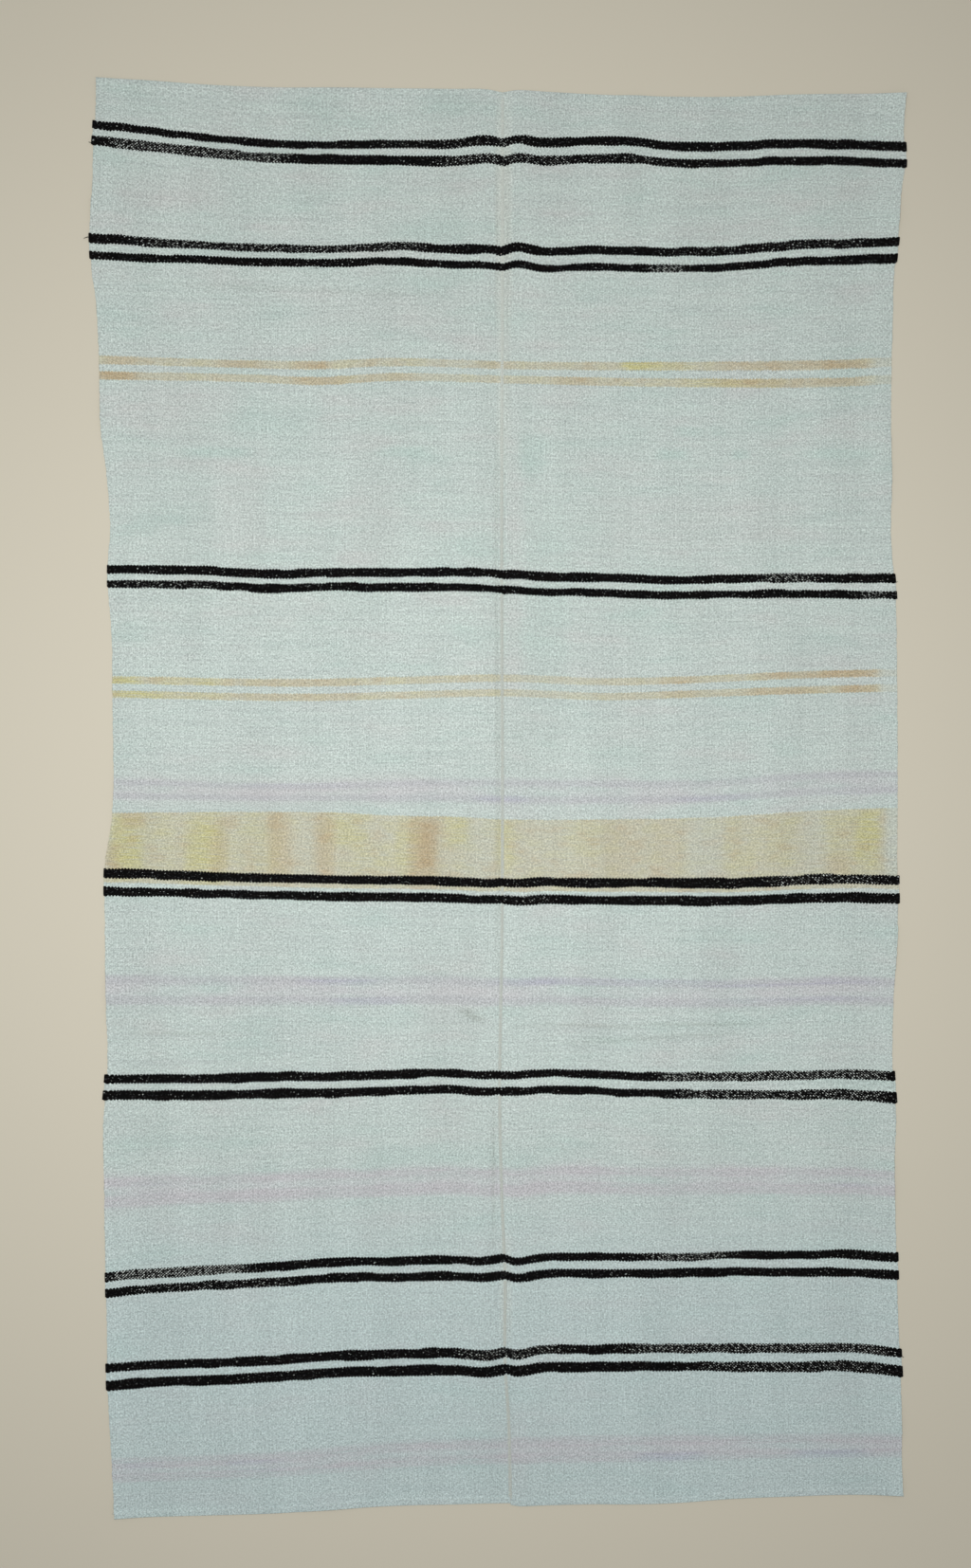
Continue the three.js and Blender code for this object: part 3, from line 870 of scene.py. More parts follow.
def hemp_material():
    node, finish = new_material("sun-bleached handwoven hemp", 0.92, 0.2, 0.15)
    place = node("Attribute", output="Vector", attribute_name="cloth_place")
    names = [dye + "_depth" for dye in STRIPES] + [patch.replace(" ", "_") for patch in DYE_PATCHES]
    felt = {name: node("Attribute", output="Fac", attribute_name=name) for name in names}
    noise = cloth_noises(node, place, HEMP_NOISES)

    # Beads of weft: a place is told in warps and in picks, both a little uneven. A bead is as wide as one
    # warp and as tall as two picks, and the beads on the next warp are set off by one pick.
    across = node("SeparateXYZ", [place], output="X")
    up = node("SeparateXYZ", [place], output="Y")
    even_warps = node("Math", [across, WARP_PITCH * MM], operation="DIVIDE")
    warps = node("Math", [noise["warp stray"], WARP_STRAY, even_warps], **TIMES_PLUS)
    even_picks = node("Math", [up, PICK_PITCH * MM], operation="DIVIDE")
    picks_up = node("Math", [noise["pick stray"], PICK_STRAY, even_picks], **TIMES_PLUS)
    bead_warp = node("Math", [warps], operation="ROUND")
    along = node("Math", [warps, bead_warp], operation="SUBTRACT")
    beads_up = node("Math", [picks_up, bead_warp], operation="ADD")
    beads_up = node("Math", [beads_up, 0.5], **TIMES)
    beads_up = node("Math", [along, BEAD_SLANT, beads_up], **TIMES_PLUS)
    bead_row = node("Math", [beads_up], operation="ROUND")
    aside = node("Math", [beads_up, bead_row], operation="SUBTRACT")

    # A bead is a short length of round yarn: round in section, and it dives a little at both ends.
    rounds = []
    for offset_in_bead, drop in ((aside, SECTION_DROP), (along, DIVE_DROP)):
        squared = node("Math", [offset_in_bead, 2.0], operation="POWER")
        rounds.append(node("Math", [node("Math", [squared, drop, 1.0], **TIMES_PLUS)], operation="SQRT"))
    section, dive = rounds
    beads = node("Math", rounds, **TIMES)
    bead_name = node("CombineXYZ", [bead_warp, bead_row])
    own_shade = node("TexWhiteNoise", {"Vector": bead_name}, output="Value", noise_dimensions="2D")

    # The ground's colour, layer by layer.
    colour = node("MapRange", [noise["long streaks"], 0.3, 0.7, 0.0, 1.0], **SOFT)
    colour = node("Mix", {MIX_FACTOR: colour, MIX_FIRST: HEMP_SHADE, MIX_SECOND: HEMP}, **BLEND)
    layers = [
        (node("MapRange", [noise["short streaks"], 0.4, 0.8, 0.0, 0.8], **SOFT), HEMP_LIGHT),
        (node("MapRange", [noise["drift"], 0.5, 0.75, 0.0, 0.35], **SOFT), BLUSH),
        (node("MapRange", [noise["drift"], 0.5, 0.25, 0.0, 0.3], **SOFT), AQUA),
        (node("Math", [felt["blush"], 0.5], **TIMES), BLUSH),
        (node("Math", [felt["aqua"], 0.75], **TIMES), AQUA),
        (node("Math", [felt["cool"], 0.4], **TIMES), HEMP_COOL),
    ]

    # The dyes. The yarn was dyed unevenly before it was woven, so one pick is amber, the next one yellow
    # and a third one pale.
    hues = {}
    for hue, low, high, least, most, blotch_end, blotch in (
        ("yellow", 0.3, 0.65, 0.5, 1.1, 0.35, 0.2),
        ("amber", 0.7, 0.35, 0.5, 1.2, 0.68, 0.3),
    ):
        on_picks = node("MapRange", [noise["picks"], low, high, least, most], **SOFT)
        in_blotches = node("MapRange", [noise["blotches"], 0.52, blotch_end, 0.0, blotch], **SOFT)
        hues[hue] = node("Math", [felt[hue], on_picks, in_blotches], **TIMES_PLUS)
    gold = node("Mix", {MIX_FACTOR: hues["yellow"], MIX_FIRST: STRAW_GOLD, MIX_SECOND: YELLOW_GOLD}, **BLEND)
    gold = node("Mix", {MIX_FACTOR: hues["amber"], MIX_FIRST: gold, MIX_SECOND: AMBER_GOLD}, **BLEND)
    unfaded = node("Math", [felt["faded"], -0.75, 1.0], **TIMES_PLUS)
    gold_picks = node("MapRange", [noise["picks"], 0.3, 0.6, 0.75, 1.05], **SOFT)
    lilac = node("Mix", {MIX_FACTOR: felt["violet"], MIX_FIRST: LILAC, MIX_SECOND: VIOLET}, **BLEND)
    rose = node("Mix", {MIX_FACTOR: felt["violet"], MIX_FIRST: ROSE, MIX_SECOND: VIOLET}, **BLEND)
    streaks = node("MapRange", [noise["long streaks"], 0.25, 0.7, 0.3, 1.0], **SOFT)
    rose_picks = node("MapRange", [noise["picks"], 0.35, 0.65, 0.3, 0.6], **SOFT)
    drifts = node("MapRange", [noise["drift"], 0.3, 0.65, 0.1, 0.5], **SOFT)
    dyes = {
        "gold": (node("Math", [unfaded, gold_picks], **TIMES), gold),
        "pink": (drifts, PINK),
        "lilac": (node("Math", [streaks, 0.62], **TIMES), lilac),
        "rose": (node("Math", [streaks, rose_picks], **TIMES), rose),
    }

    # A dyed stripe's edge steps from bead to bead and strays a little with the yarn.
    warp_turns = node("Math", [warps, np.pi], **TIMES)
    warp_wave = node("Math", [warp_turns], operation="COSINE")
    stray = node("Math", [noise["stripe edge"], 0.5], operation="SUBTRACT")
    stray = node("Math", [stray, STRIPE_EDGE_STRAY], **TIMES)
    stepped = node("Math", [warp_wave, 0.9, stray], **TIMES_PLUS)
    for dye, (take, dyed) in dyes.items():
        depth = node("Math", [felt[dye + "_depth"], stepped], operation="ADD")
        soft = STRIPE_SOFTNESS[dye]
        within = node("MapRange", [depth, -soft, soft, 0.0, 1.0], **SOFT)
        layers.append((node("Math", [within, take], **TIMES), dyed))
    # Painted light: the ground paler beside the seam.
    layers.append((node("Math", [felt["thread_glow"], 0.5], **TIMES), SEAM_PAINTED_LIGHT))
    # Soil, and painted shade beside the seam and in the creases.
    layers.append((node("Math", [felt["soil_and_painted_shade"], 0.4], **TIMES), SOIL_AND_PAINTED_SHADE))
    for take, layer in layers:
        colour = node("Mix", {MIX_FACTOR: take, MIX_FIRST: colour, MIX_SECOND: layer}, **BLEND)

    # Painted shade for relief too fine to model: the dark at each bead's edges, where it rounds off and
    # dives under the next warp. With it the yarn's own tone: each bead's own brightness, the thick and thin
    # places and the fibres of the yarn, the warp lines and dark flecks of bark.
    shade = node("Math", [own_shade, BEAD_VARIETY, 1 - BEAD_VARIETY / 2], **TIMES_PLUS)
    for shading in (
        [noise["grain"], 0.25, 0.75, 0.63, 1.33],
        [section, 0.2, 0.95, 0.7, 1.0],
        [dive, 0.4, 0.95, 0.86, 1.0],
        [noise["fibres"], 0.25, 0.75, 0.9, 1.1],
        [noise["warp lines"], 0.2, 0.8, 0.965, 1.03],
        [noise["columns"], 0.25, 0.75, 0.965, 1.03],
        [noise["flecks"], 0.74, 0.8, 1.0, 0.8],
    ):
        shade = node("Math", [shade, node("MapRange", shading, **SOFT)], **TIMES)
    grey = node("CombineColor", [shade, shade, shade])
    shaded = {MIX_FACTOR: 1.0, MIX_FIRST: colour, MIX_SECOND: grey}
    colour = node("Mix", shaded, blend_type="MULTIPLY", **BLEND)

    height = node("Math", [noise["fibres"], 0.3, beads], **TIMES_PLUS)
    height = node("Math", [own_shade, 0.3, height], **TIMES_PLUS)
    return finish(colour, height, 0.6, 1.1 * MM)


hemp = hemp_material()
grounds = {}
for seed, side in enumerate(SIDES.values()):
    rings, place = make_ground(side, seed * 10)
    ground = ring_mesh("hemp_panel_" + side["name"], rings, place, dye_measures(rings, place), capped=False)
    tidy_mesh(ground)
    ground.data.materials.append(hemp)
    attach(ground, "root")
    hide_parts("panel_" + side["name"])
    grounds[side["name"]] = ground

# The goat-hair bands.
# Each is about seven picks of thick, black, hand-spun goat hair, woven in with the ground from selvedge
# to selvedge. The yarn stands proud of the hemp, its beads give the band toothed edges, and its turns
# reach past the selvedge.

# The band's rise over the ground at its middle and at its rims, and the relief of its beads.
BAND_RISE = 0.9
BAND_RIM = 0.3
BAND_PICKS = 7
BEAD_RELIEF = 0.45
BEAD_UNEVENNESS = 0.35
BEAD_LEAST, BEAD_MOST = -1, 1.5
# The reach and the fullness of the teeth along its edges, and how the edges stray from the weft.
TOOTH = 1.6
TOOTH_ROUNDNESS = 0.6
EDGE_STRAY = 0.6
BAND_SEED = 2000
STRAY_KNOTS = 38.0
PICK_STEP = 1.2
PICK_STEP_RUN = 9
BAND_END_RADIUS = 2.2
# The bands of the two panels are drawn together at the seam until they all but touch.
BAND_MEETING = 0.02
SEAM_FULLNESS = 1.6
STATION_STEP = WARP_PITCH / 2

# Where the hair is worn and the pale warp shows: the pair, the band, the places, and how much.
WORN_COLUMNS = ("pair", "above", "start", "end", "wear")
WORN = [
    (1, 1, -300, 60, 0.3),
    (1, -1, -960, -520, 0.75),
    (1, -1, -160, 180, 0.55),
    (1, -1, 180, 420, 0.35),
    (2, 1, -900, -180, 0.55),
    (2, 1, 380, 900, 0.3),
    (2, -1, 360, 460, 0.8),
    (3, 1, 640, 780, 0.7),
    (3, -1, 880, 960, 0.7),
    (3, -1, -960, -700, 0.4),
    (4, 1, 650, 960, 0.5),
    (4, -1, 0, 120, 0.4),
    (5, 1, 380, 960, 0.75),
    (5, -1, 420, 960, 0.6),
    (6, 1, -960, -620, 0.95),
    (6, 1, 360, 560, 0.7),
    (6, -1, -900, -500, 0.4),
    (7, 1, 300, 960, 0.65),
    (7, 1, -120, 160, 0.5),
    (7, -1, 500, 960, 0.55),
]
WORN_FADE = 60


def stray_edge(distances, random):
    """The straying of a band's edge: soft wandering, and short steps where one pick more or less was
    woven in."""
    knots = np.arange(-20, PANEL_WIDTH + 60, STRAY_KNOTS)
    wander = np.interp(distances, knots, random.normal(size=len(knots)))
    picks = np.repeat(random.choice([-1, 0, 0, 1], size=len(knots)), 2)
    starts = np.stack([knots, knots + STRAY_KNOTS - PICK_STEP_RUN], axis=-1).ravel()
    return EDGE_STRAY * wander + PICK_STEP * np.interp(distances, starts, picks)


def teeth(phase):
    """The teeth of an edge, as the round ends of beads: a cosine that is filled out between its tips and
    valleys."""
    return TOOTH * (np.cos(phase) + TOOTH_ROUNDNESS * np.sin(phase) ** 2)


def make_band(side, pair, number, above, seed):
    """One band as a flat rope whose section runs once round it: from the upper toothed edge over a low
    arch to the lower one and back along the underside. The arch carries the beads, which are high where
    the wave along the band and the wave across it are both high or both low. The distances are whole
    quarters of the beads' repeat."""
    distances = np.arange(0, PANEL_WIDTH, STATION_STEP)
    from_selvedge = PANEL_WIDTH - distances[-1]
    tail = np.array([0.4, 0.75, 1.0]) * from_selvedge + distances[-1]
    distances = np.concatenate([[BAND_MEETING - SEAM_GAP / 2], distances[1:], tail])
    jut = pair["jut"][side["jut"]]
    lines = [{**line, "jut": jut} for line in band_edges(pair, side, above)]

    shares = np.linspace(0, 1, 2 * BAND_PICKS + 1)
    rows = {"line": np.zeros(len(shares), int), "share": shares}
    across, up = cloth_grid(side, lines, rows, distances)

    phase = np.pi * distances / WARP_PITCH
    random = np.random.default_rng(seed)
    upper_edge = teeth(phase) + stray_edge(distances, random)
    lower_edge = teeth(phase + np.pi / 2) + stray_edge(distances, random)
    near_upper = np.clip(1 - 2 * shares, 0, 1)[:, None] ** 2
    near_lower = np.clip(2 * shares - 1, 0, 1)[:, None] ** 2
    up = up + near_upper * upper_edge[None, :] - near_lower * lower_edge[None, :]

    arch = 1 - np.abs(2 * shares - 1)[:, None] ** 5
    beads = np.cos(phase)[None, :] * np.cos(np.pi * BAND_PICKS * shares)[:, None]
    uneven = BEAD_UNEVENNESS * random.normal(size=beads.shape)
    from_ends = np.minimum(distances + SEAM_FULLNESS, PANEL_WIDTH + 0.15 - distances)
    end_full = fullness(from_ends, BAND_END_RADIUS)[None, :]
    relief = BEAD_RELIEF * np.clip(beads + uneven, BEAD_LEAST, BEAD_MOST)
    height = CLOTH_THICKNESS + BAND_RIM + arch * (BAND_RISE - BAND_RIM + relief)
    seam_ridge = SEAM_RISE * np.cos(np.pi / 2 * np.minimum(distances / SEAM_RIDGE, 1)) ** 2
    lift = lift_at(across, up)
    middle = CLOTH_THICKNESS / 2
    top = lift + middle + (height + seam_ridge[None, :] - middle) * end_full
    back = [-1, len(shares) // 2, 0]
    bottom = (lift + middle - middle * end_full)[back]

    def ring(upper, lower):
        return np.concatenate([upper, lower], axis=0).T

    rings = np.stack([ring(across, across[back]), ring(up, up[back]), ring(top, bottom)], axis=-1)
    nominal = np.broadcast_to(side["sign"] * distances, across.shape)
    named = np.broadcast_to(along_rows(rows, [line["name"] for line in lines])[:, None], across.shape)
    flat = np.zeros_like(up)
    place = np.stack([ring(measure, measure[back]) for measure in (nominal, named, flat)], axis=-1)

    wear = np.zeros_like(across)
    for entry in WORN:
        worn = dict(zip(WORN_COLUMNS, entry))
        if (worn["pair"], worn["above"]) == (number, above):
            inside = np.minimum(across - worn["start"], worn["end"] - across)
            wear = np.maximum(wear, worn["wear"] * np.clip(inside / WORN_FADE + 0.5, 0, 1))
    under = np.zeros((len(back), len(distances)))
    measures = {"wear": ring(wear, under), "bead": ring(beads, under)}
    return rings, place, measures


GOAT_BLACK = linear("#090909")
GOAT_BROWN = linear("#110d0c")
# Painted shade for the hollows between the beads.
HOLLOW_PAINTED_SHADE = linear("#020202")
# Painted highlights: the grey of the glints on the beads.
GLINT_PAINTED_HIGHLIGHT = linear("#77787b")
WARP_PALE = linear("#dde3dd")

# Goat hair is coarse and a little glossy. To the eye it is black with a touch of brown. Grey glints on its
# beads are painted highlights, the dark in the hollows between them is painted shade, and the pale warp
# shows in those hollows where the hair is worn.
HAIR_NOISES = {
    "brown": (14, 200, 3.0, 0.5),
    "glints": (125, 250, 3.0, 0.8),
    "bare warp": (125, 270, 2.0, 0.7),
    "hairs": (240, 1800, 2.0, 0.5),
}


def goat_hair_material():
    node, finish = new_material("hand-spun black goat hair", 0.8, 0.04)
    place = node("Attribute", output="Vector", attribute_name="cloth_place")
    wear = node("Attribute", output="Fac", attribute_name="wear")
    bead = node("Attribute", output="Fac", attribute_name="bead")
    noise = cloth_noises(node, place, HAIR_NOISES)
    brown = node("MapRange", [noise["brown"], 0.45, 0.75, 0.0, 1.0], **SOFT)
    colour = node("Mix", {MIX_FACTOR: brown, MIX_FIRST: GOAT_BLACK, MIX_SECOND: GOAT_BROWN}, **BLEND)
    # Painted highlights: grey glints on the tops of the beads.
    glints = node("MapRange", [noise["glints"], 0.58, 0.72, 0.0, 1.0], **SOFT)
    on_beads = node("MapRange", [bead, -0.4, 0.8, 0.2, 1.0], **SOFT)
    worn = node("Math", [wear, 0.17, noise["bare warp"]], **TIMES_PLUS)
    worn = node("MapRange", [worn, 0.64, 0.68, 0.0, 1.0], **SOFT)
    between_beads = node("MapRange", [bead, 0.1, -0.5, 0.0, 1.0], **SOFT)
    # Painted shade in the hollows between the beads, painted highlights on the beads, and the pale warp
    # where the hair is worn.
    for take, layer in (
        (node("MapRange", [bead, 0.1, -0.9, 0.0, 1.0], **SOFT), HOLLOW_PAINTED_SHADE),
        (node("Math", [glints, on_beads], **TIMES), GLINT_PAINTED_HIGHLIGHT),
        (node("Math", [between_beads, worn], **TIMES), WARP_PALE),
    ):
        colour = node("Mix", {MIX_FACTOR: take, MIX_FIRST: colour, MIX_SECOND: layer}, **BLEND)

    # Hairs lie along the yarn. They are a fraction of a millimetre wide and drawn three times as coarse.
    return finish(colour, noise["hairs"], 0.5, 0.4 * MM)


def joined(name, pieces, material):
    """Several meshes as one piece, at the origin."""
    bpy.ops.object.select_all(action="DESELECT")
    for piece in pieces:
        piece.select_set(True)
    bpy.context.view_layer.objects.active = pieces[0]
    bpy.ops.object.join()
    whole = pieces[0]
    whole.name = name
    whole.data.name = name
    whole.data.materials.clear()
    whole.data.materials.append(material)
    return whole


goat_hair = goat_hair_material()
bands = {"left": [], "right": []}
for side_index, side in enumerate(SIDES.values()):
    for number, pair in enumerate(BAND_PAIRS, start=1):
        halves = []
        for above in (1, -1):
            seed = BAND_SEED + 100 * number + 10 * side_index + above
            rings, place, measures = make_band(side, pair, number, above, seed)
            half = ring_mesh("band", rings, place, measures, capped=True)
            tidy_mesh(half)
            halves.append(half)
        piece = joined(f"goat_hair_bands_{number}_{side['name']}", halves, goat_hair)
        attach(piece, "root")
        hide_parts("panel_" + side["name"])
        bands[side["name"]].append(piece)

for name, ground in grounds.items():
    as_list(bands[name])

# The sewing.
# The panels were joined by hand with a hemp thread that whips over both selvedges from end to end, and
# running stitches hold the turned ends down. The thread is rounder and a little warmer than the cloth
# it holds.

# The stitches of the seam: their spacing, half their reach across it, their slant and their thread.
STITCH_PITCH = 2.7
STITCH_REACH = 4.0
STITCH_SLANT = 1.0
STITCH_RADIUS = 1.15
STITCH_STATIONS = 7
STITCH_SIDES = 5
THREAD_SINK = 1.7
# The stitches of the hems, which lie across, and their distance from the end of the cloth.
HEM_STITCH_PITCH = 12
HEM_STITCH_REACH = 2.6
HEM_STITCH_RADIUS = 0.5
HEM_STITCH_SINK = 0.2
HEM_STITCH_INSET = 13


def thread_mesh(name, paths, radii, upright):
    """Many round threads as one mesh. paths holds the X, Y, Z of each thread's stations, and radii the
    thickness at a station. Each station has a ring of points about the path, set out from the part of the
    upright direction that is square to it, and both ends are closed by one face."""
    tangent = np.gradient(paths, axis=1)
    tangent /= np.linalg.norm(tangent, axis=2, keepdims=True)
    out = upright - np.sum(tangent * upright, axis=2, keepdims=True) * tangent
    out /= np.linalg.norm(out, axis=2, keepdims=True)
    beside = np.cross(tangent, out)
    angle = 2 * np.pi * np.arange(STITCH_SIDES) / STITCH_SIDES
    spokes = np.cos(angle)[:, None] * out[:, :, None] + np.sin(angle)[:, None] * beside[:, :, None]
    points = paths[:, :, None] + radii[..., None, None] * spokes
    threads, stations = paths.shape[:2]
    index = np.arange(threads * stations * STITCH_SIDES).reshape(threads, stations, STITCH_SIDES)
    following = np.roll(index, -1, axis=2)
    quads = np.stack([index[:, :-1], following[:, :-1], following[:, 1:], index[:, 1:]], axis=-1)
    quads = quads.reshape(-1, 4)
    caps = np.concatenate([index[:, 0, ::-1], index[:, -1]])
    mesh = bpy.data.meshes.new(name)
    mesh.from_pydata((points.reshape(-1, 3) * MM).tolist(), [], quads.tolist() + caps.tolist())
    piece = bpy.data.objects.new(name, mesh)
    bpy.context.scene.collection.objects.link(piece)
    mesh.shade_smooth()
    return piece


def band_places():
    """The middle and the breadth of each band at the seam."""
    for pair in BAND_PAIRS:
        for above in (1, -1):
            upper, lower = band_edges(pair, SIDES["right"], above)
            yield (upper["name"] + lower["name"]) / 2, upper["name"] - lower["name"]


def seam_surface(across, up):
    """The height of the cloth's upper face near the seam."""
    from_seam = np.minimum(np.abs(across - seam_across(up)) / SEAM_RIDGE, 1)
    return lift_at(across, up) + CLOTH_THICKNESS + SEAM_RISE * np.cos(np.pi / 2 * from_seam) ** 2


random = np.random.default_rng(77)
ends = (BOTTOM_END["left"][-1] + 4, TOP_END["left"][-1] - 4)
stitch_up = np.arange(*ends, STITCH_PITCH)
stitch_up = stitch_up + random.uniform(-0.5, 0.5, len(stitch_up))
for middle, broad in band_places():
    stitch_up = stitch_up[np.abs(stitch_up - middle) > broad / 2 + 1]
share = np.linspace(-1, 1, STITCH_STATIONS)
reach = STITCH_REACH * random.uniform(0.85, 1.15, (len(stitch_up), 1))
path_up = stitch_up[:, None] + STITCH_SLANT * share
path_across = seam_across(stitch_up)[:, None] + reach * share
path_height = seam_surface(path_across, path_up) + 0.5 * STITCH_RADIUS - THREAD_SINK * share**6
paths = np.stack([path_across, path_up, path_height], axis=-1)
radii = STITCH_RADIUS * random.uniform(0.85, 1.15, (len(paths), 1)) * np.ones(STITCH_STATIONS)
seam_thread = thread_mesh("seam_thread", paths, radii, np.array([0.0, 1.0, 0.0]))

hem_paths = []
for side in SIDES.values():
    for end, inward in ((TOP_END, -1), (BOTTOM_END, 1)):
        start = side["sign"] * np.arange(10, PANEL_WIDTH - 12, HEM_STITCH_PITCH)
        start = start + random.uniform(-1.2, 1.2, len(start))
        path_across = start[:, None] + HEM_STITCH_REACH * share
        end_up = curve_through(side["places"], end[side["name"]])(path_across)
        path_up = end_up + inward * (HEM_STITCH_INSET + random.uniform(-0.7, 0.7, (len(start), 1)))
        top = lift_at(path_across, path_up) + UNDERSIDE + CLOTH_THICKNESS + HEM_RISE
        path_height = top - HEM_STITCH_SINK - THREAD_SINK * share**6
        hem_paths.append(np.stack([path_across, path_up, path_height], axis=-1))
paths = np.concatenate(hem_paths)
radii = np.full(paths.shape[:2], HEM_STITCH_RADIUS)
hem_thread = thread_mesh("hem_thread", paths, radii, np.array([0.0, 1.0, 0.0]))

THREAD = linear("#dee3dc")
THREAD_SHADE = linear("#cacfc7")
THREAD_SOILED = linear("#a3a69c")
# The thread is soiled below the first of these heights and clean above the second. Soil takes it this far.
CLEAN_THREAD = (500, 1000)
THREAD_SOIL = 0.25


def yarn_material(name, roughness, specular, dark, light, soiled=None):
    """Yarn of two strands twisted by hand, as a fine grain of a dark and a light colour and low bumps.
    soiled is the colour that it takes on below the clean heights."""
    node, finish = new_material(name, roughness, specular)
    place = node("TexCoord", output="Object")
    twist = node("TexNoise", {"Vector": place, "Scale": 420.0, "Detail": 2.0}, output="Fac")
    colour = node("Mix", {MIX_FACTOR: twist, MIX_FIRST: dark, MIX_SECOND: light}, **BLEND)
    if soiled:
        up = node("SeparateXYZ", [place], output="Y")
        clean = [height * MM for height in CLEAN_THREAD]
        take = node("MapRange", [up, *clean, THREAD_SOIL, 0.0], **SOFT)
        colour = node("Mix", {MIX_FACTOR: take, MIX_FIRST: colour, MIX_SECOND: soiled}, **BLEND)
    return finish(colour, twist, 0.4, 0.3 * MM)


thread = yarn_material("hand-twisted hemp sewing thread", 0.85, 0.25, THREAD_SHADE, THREAD, THREAD_SOILED)
for piece in (seam_thread, hem_thread):
    tidy_mesh(piece)
    piece.data.materials.append(thread)
    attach(piece, "root")

# Loose ends and knots.
# Where a length of goat hair ran out, its tail was left hanging from the band's edge or past the
# selvedge. A few small loops and knots of pale warp yarn come up through the black bands.

TAIL_RADIUS = 1.0
TAIL_STATIONS = 9
# Each tail: where it leaves the cloth, its length, its heading in degrees and its bend over its length.
TAIL_COLUMNS = ("across", "up", "length", "heading", "bend")
TAILS = [
    (-457, 1312, 16, -95, 50),
    (-1004, 1366, 14, 160, 60),
    (-998, 1598, 8, 190, -40),
    (970, 536, 12, -10, 40),
    (988, -1384, 10, 20, -70),
]
KNOT_RADIUS = 0.8
# Each knot: where it comes up, the width of its loop and its turn in degrees.
KNOT_COLUMNS = ("across", "up", "reach", "turn")
KNOTS = [
    (-940, 1594, 2.6, 20),
    (-928, 1591, 2.2, -40),
    (-912, 1589, 2.4, 70),
    (362, 1330, 2.0, 10),
    (640, 1311, 2.4, -20),
    (-312, -1136, 2.6, 35),
    (-746, -1166, 2.4, -30),
    (306, -1171, 2.4, 15),
    (908, -1362, 2.4, 60),
    (-873, 1350, 1.8, 80),
    (-860, 1354, 1.8, 0),
]


def tail_paths():
    """Tails that leave the cloth, sink to the floor and bend as they go."""
    share = np.linspace(0, 1, TAIL_STATIONS)
    for entry in TAILS:
        tail = dict(zip(TAIL_COLUMNS, entry))
        heading = np.radians(tail["heading"] + tail["bend"] * share)
        step = tail["length"] / (TAIL_STATIONS - 1)
        across = tail["across"] + step * np.cumsum(np.cos(heading))
        up = tail["up"] + step * np.cumsum(np.sin(heading))
        over_cloth = lift_at(across, up) + CLOTH_THICKNESS + UNDERSIDE
        outside = np.abs(across) > np.abs(tail["across"])
        rest = np.where(outside & (abs(tail["across"]) > PANEL_WIDTH - 40), 0.0, over_cloth)
        height = over_cloth[0] * (1 - share) ** 2 + rest * (1 - (1 - share) ** 2) + TAIL_RADIUS
        yield np.stack([across, up, height], axis=-1)


def knot_paths():
    """Small loops that come up through the cloth and go back down beside where they came from."""
    share = np.linspace(-1, 1, TAIL_STATIONS)
    for entry in KNOTS:
        knot = dict(zip(KNOT_COLUMNS, entry))
        turn = np.radians(knot["turn"])
        across = knot["across"] + knot["reach"] * share * np.cos(turn)
        up = knot["up"] + knot["reach"] * share * np.sin(turn)
        top = lift_at(across, up) + CLOTH_THICKNESS + BAND_RISE
        yield np.stack([across, up, top + KNOT_RADIUS * 0.5 - THREAD_SINK * share**4], axis=-1)


upward = np.array([0.0, 0.0, 1.0])
tails = np.array(list(tail_paths()))
thinning = TAIL_RADIUS * (1 - 0.6 * np.linspace(0, 1, TAIL_STATIONS) ** 2)
goat_hair_tails = thread_mesh("goat_hair_tails", tails, np.tile(thinning, (len(tails), 1)), upward)
knots = np.array(list(knot_paths()))
warp_knots = thread_mesh("warp_knots", knots, np.full(knots.shape[:2], KNOT_RADIUS), upward)

GOAT_TAIL = linear("#1c1a1a")
hair_end = yarn_material("loose end of hand-spun goat hair", 0.85, 0.12, GOAT_BLACK, GOAT_TAIL)
warp_loop = yarn_material("loop of pale hand-spun hemp warp", 0.9, 0.2, HEMP_SHADE, HEMP_LIGHT)
dressed = [(goat_hair_tails, hair_end, "goat_hair"), (warp_knots, warp_loop, "hemp_cloth")]
for piece, material, slot in dressed:
    tidy_mesh(piece)
    piece.data.materials.append(material)
    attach(piece, "root")

# The floor, the light and the camera.
# A plain pale floor, one large soft lamp high over the rug and a little to the upper left, and a camera
# that looks straight down at the photograph's slight turn.

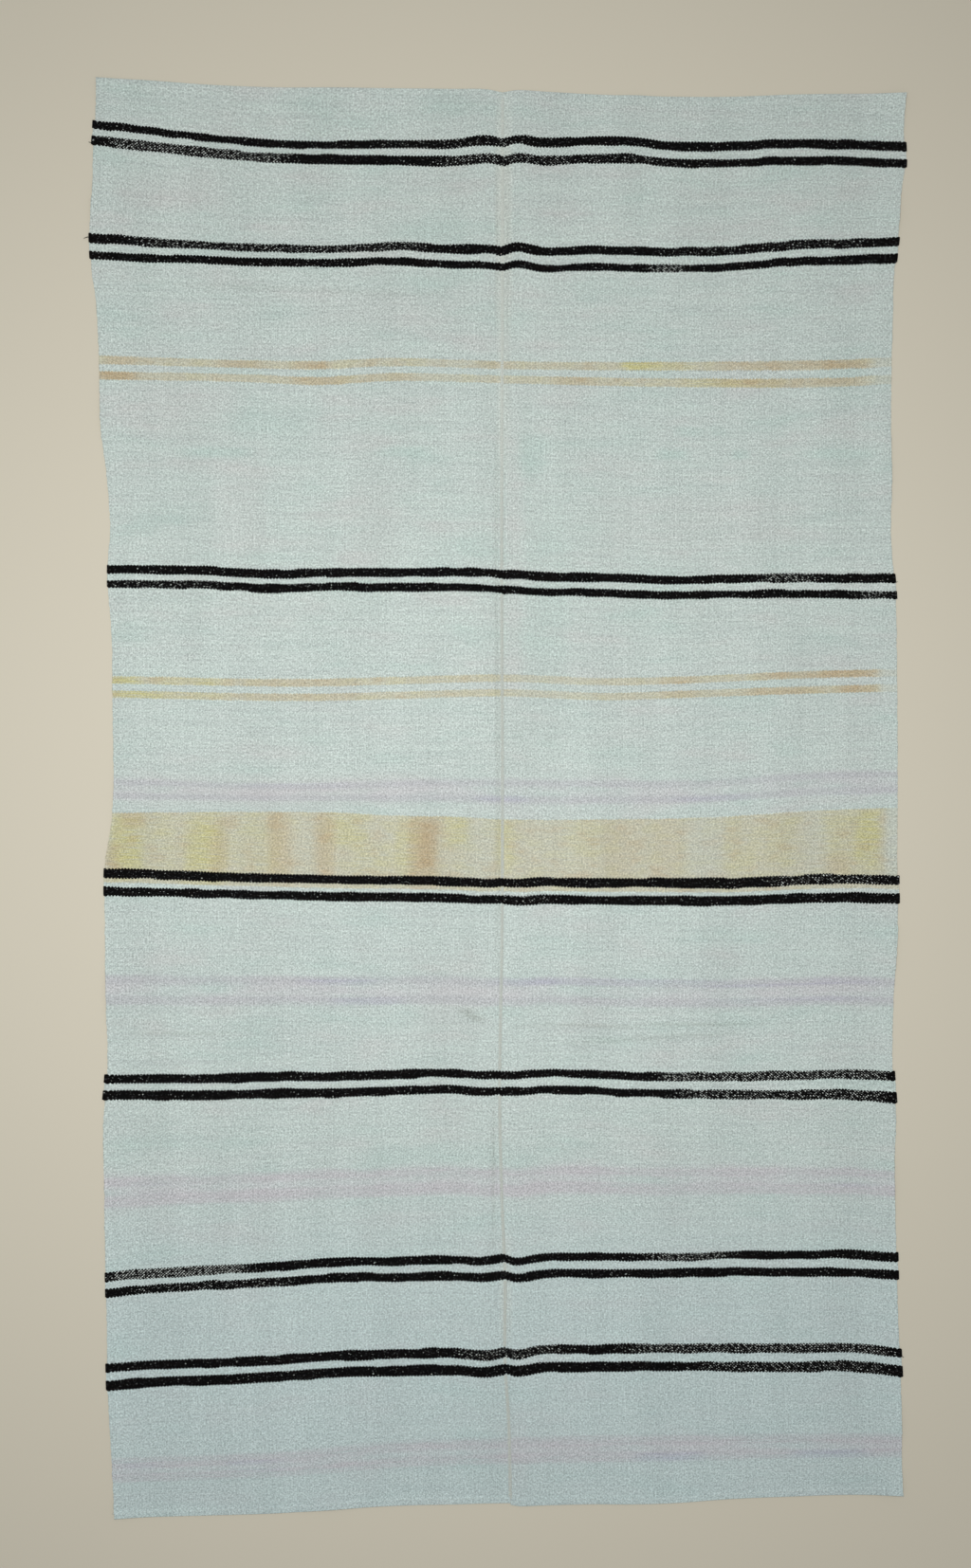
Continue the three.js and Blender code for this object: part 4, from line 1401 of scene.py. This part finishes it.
FLOOR_SIZE = 40.0
FLOOR_DROP = 0.0004
FLOOR_COLOUR = linear("#cfc8b6")
FLOOR_ROUGHNESS = 0.7
FLOOR_GLOSS = 0.2
LAMP_PLACE = (-0.55, 0.5, 4.6)
LAMP_TARGET = (-0.1, -0.1, 0.0)
LAMP_SIZE = 1.5
LAMP_SPREAD = 120
LAMP_POWER = 70
SKY_COLOUR = linear("#f2f4f5")
SKY_STRENGTH = 0.37
CAMERA_PLACE = (-0.2015, 0.036, 4.190)
CAMERA_TURN = -2.21
CAMERA_LENS = 39.18
SENSOR = 36.0

floor_mesh = bpy.data.meshes.new("floor")
half = FLOOR_SIZE / 2
outline = [(-half, -half), (half, -half), (half, half), (-half, half)]
floor_mesh.from_pydata([(*corner, -FLOOR_DROP) for corner in outline], [], [(0, 1, 2, 3)])
floor = bpy.data.objects.new("floor", floor_mesh)
bpy.context.scene.collection.objects.link(floor)
floor_material = bpy.data.materials.new("matt pale floor")
floor_material.use_nodes = True
floor_shader = floor_material.node_tree.nodes["Principled BSDF"]
floor_shader.inputs["Base Color"].default_value = FLOOR_COLOUR
floor_shader.inputs["Roughness"].default_value = FLOOR_ROUGHNESS
floor_shader.inputs["Specular IOR Level"].default_value = FLOOR_GLOSS
floor_mesh.materials.append(floor_material)


def place_lamp(name, place, target, size, spread, power):
    """A round soft lamp that faces its target and sheds its light over a cone of so many degrees."""
    from mathutils import Vector

    lamp = bpy.data.lights.new(name, "AREA")
    lamp.shape = "DISK"
    lamp.size = size
    lamp.spread = np.radians(spread)
    lamp.energy = power
    holder = bpy.data.objects.new(name, lamp)
    holder.location = place
    holder.rotation_euler = (Vector(target) - Vector(place)).to_track_quat("-Z", "Y").to_euler()
    bpy.context.scene.collection.objects.link(holder)


place_lamp("soft lamp", LAMP_PLACE, LAMP_TARGET, LAMP_SIZE, LAMP_SPREAD, LAMP_POWER)

world = bpy.data.worlds.new("studio")
world.use_nodes = True
world.node_tree.nodes["Background"].inputs["Color"].default_value = SKY_COLOUR
world.node_tree.nodes["Background"].inputs["Strength"].default_value = SKY_STRENGTH
bpy.context.scene.world = world
bpy.context.scene.view_settings.view_transform = "Standard"

camera_data = bpy.data.cameras.new("camera")
camera_data.lens = CAMERA_LENS
camera_data.sensor_width = SENSOR
camera = bpy.data.objects.new("camera", camera_data)
camera.location = CAMERA_PLACE
camera.rotation_euler = (0, np.radians(CAMERA_TURN), 0)
bpy.context.scene.collection.objects.link(camera)
bpy.context.scene.camera = camera

bpy.context.view_layer.update()
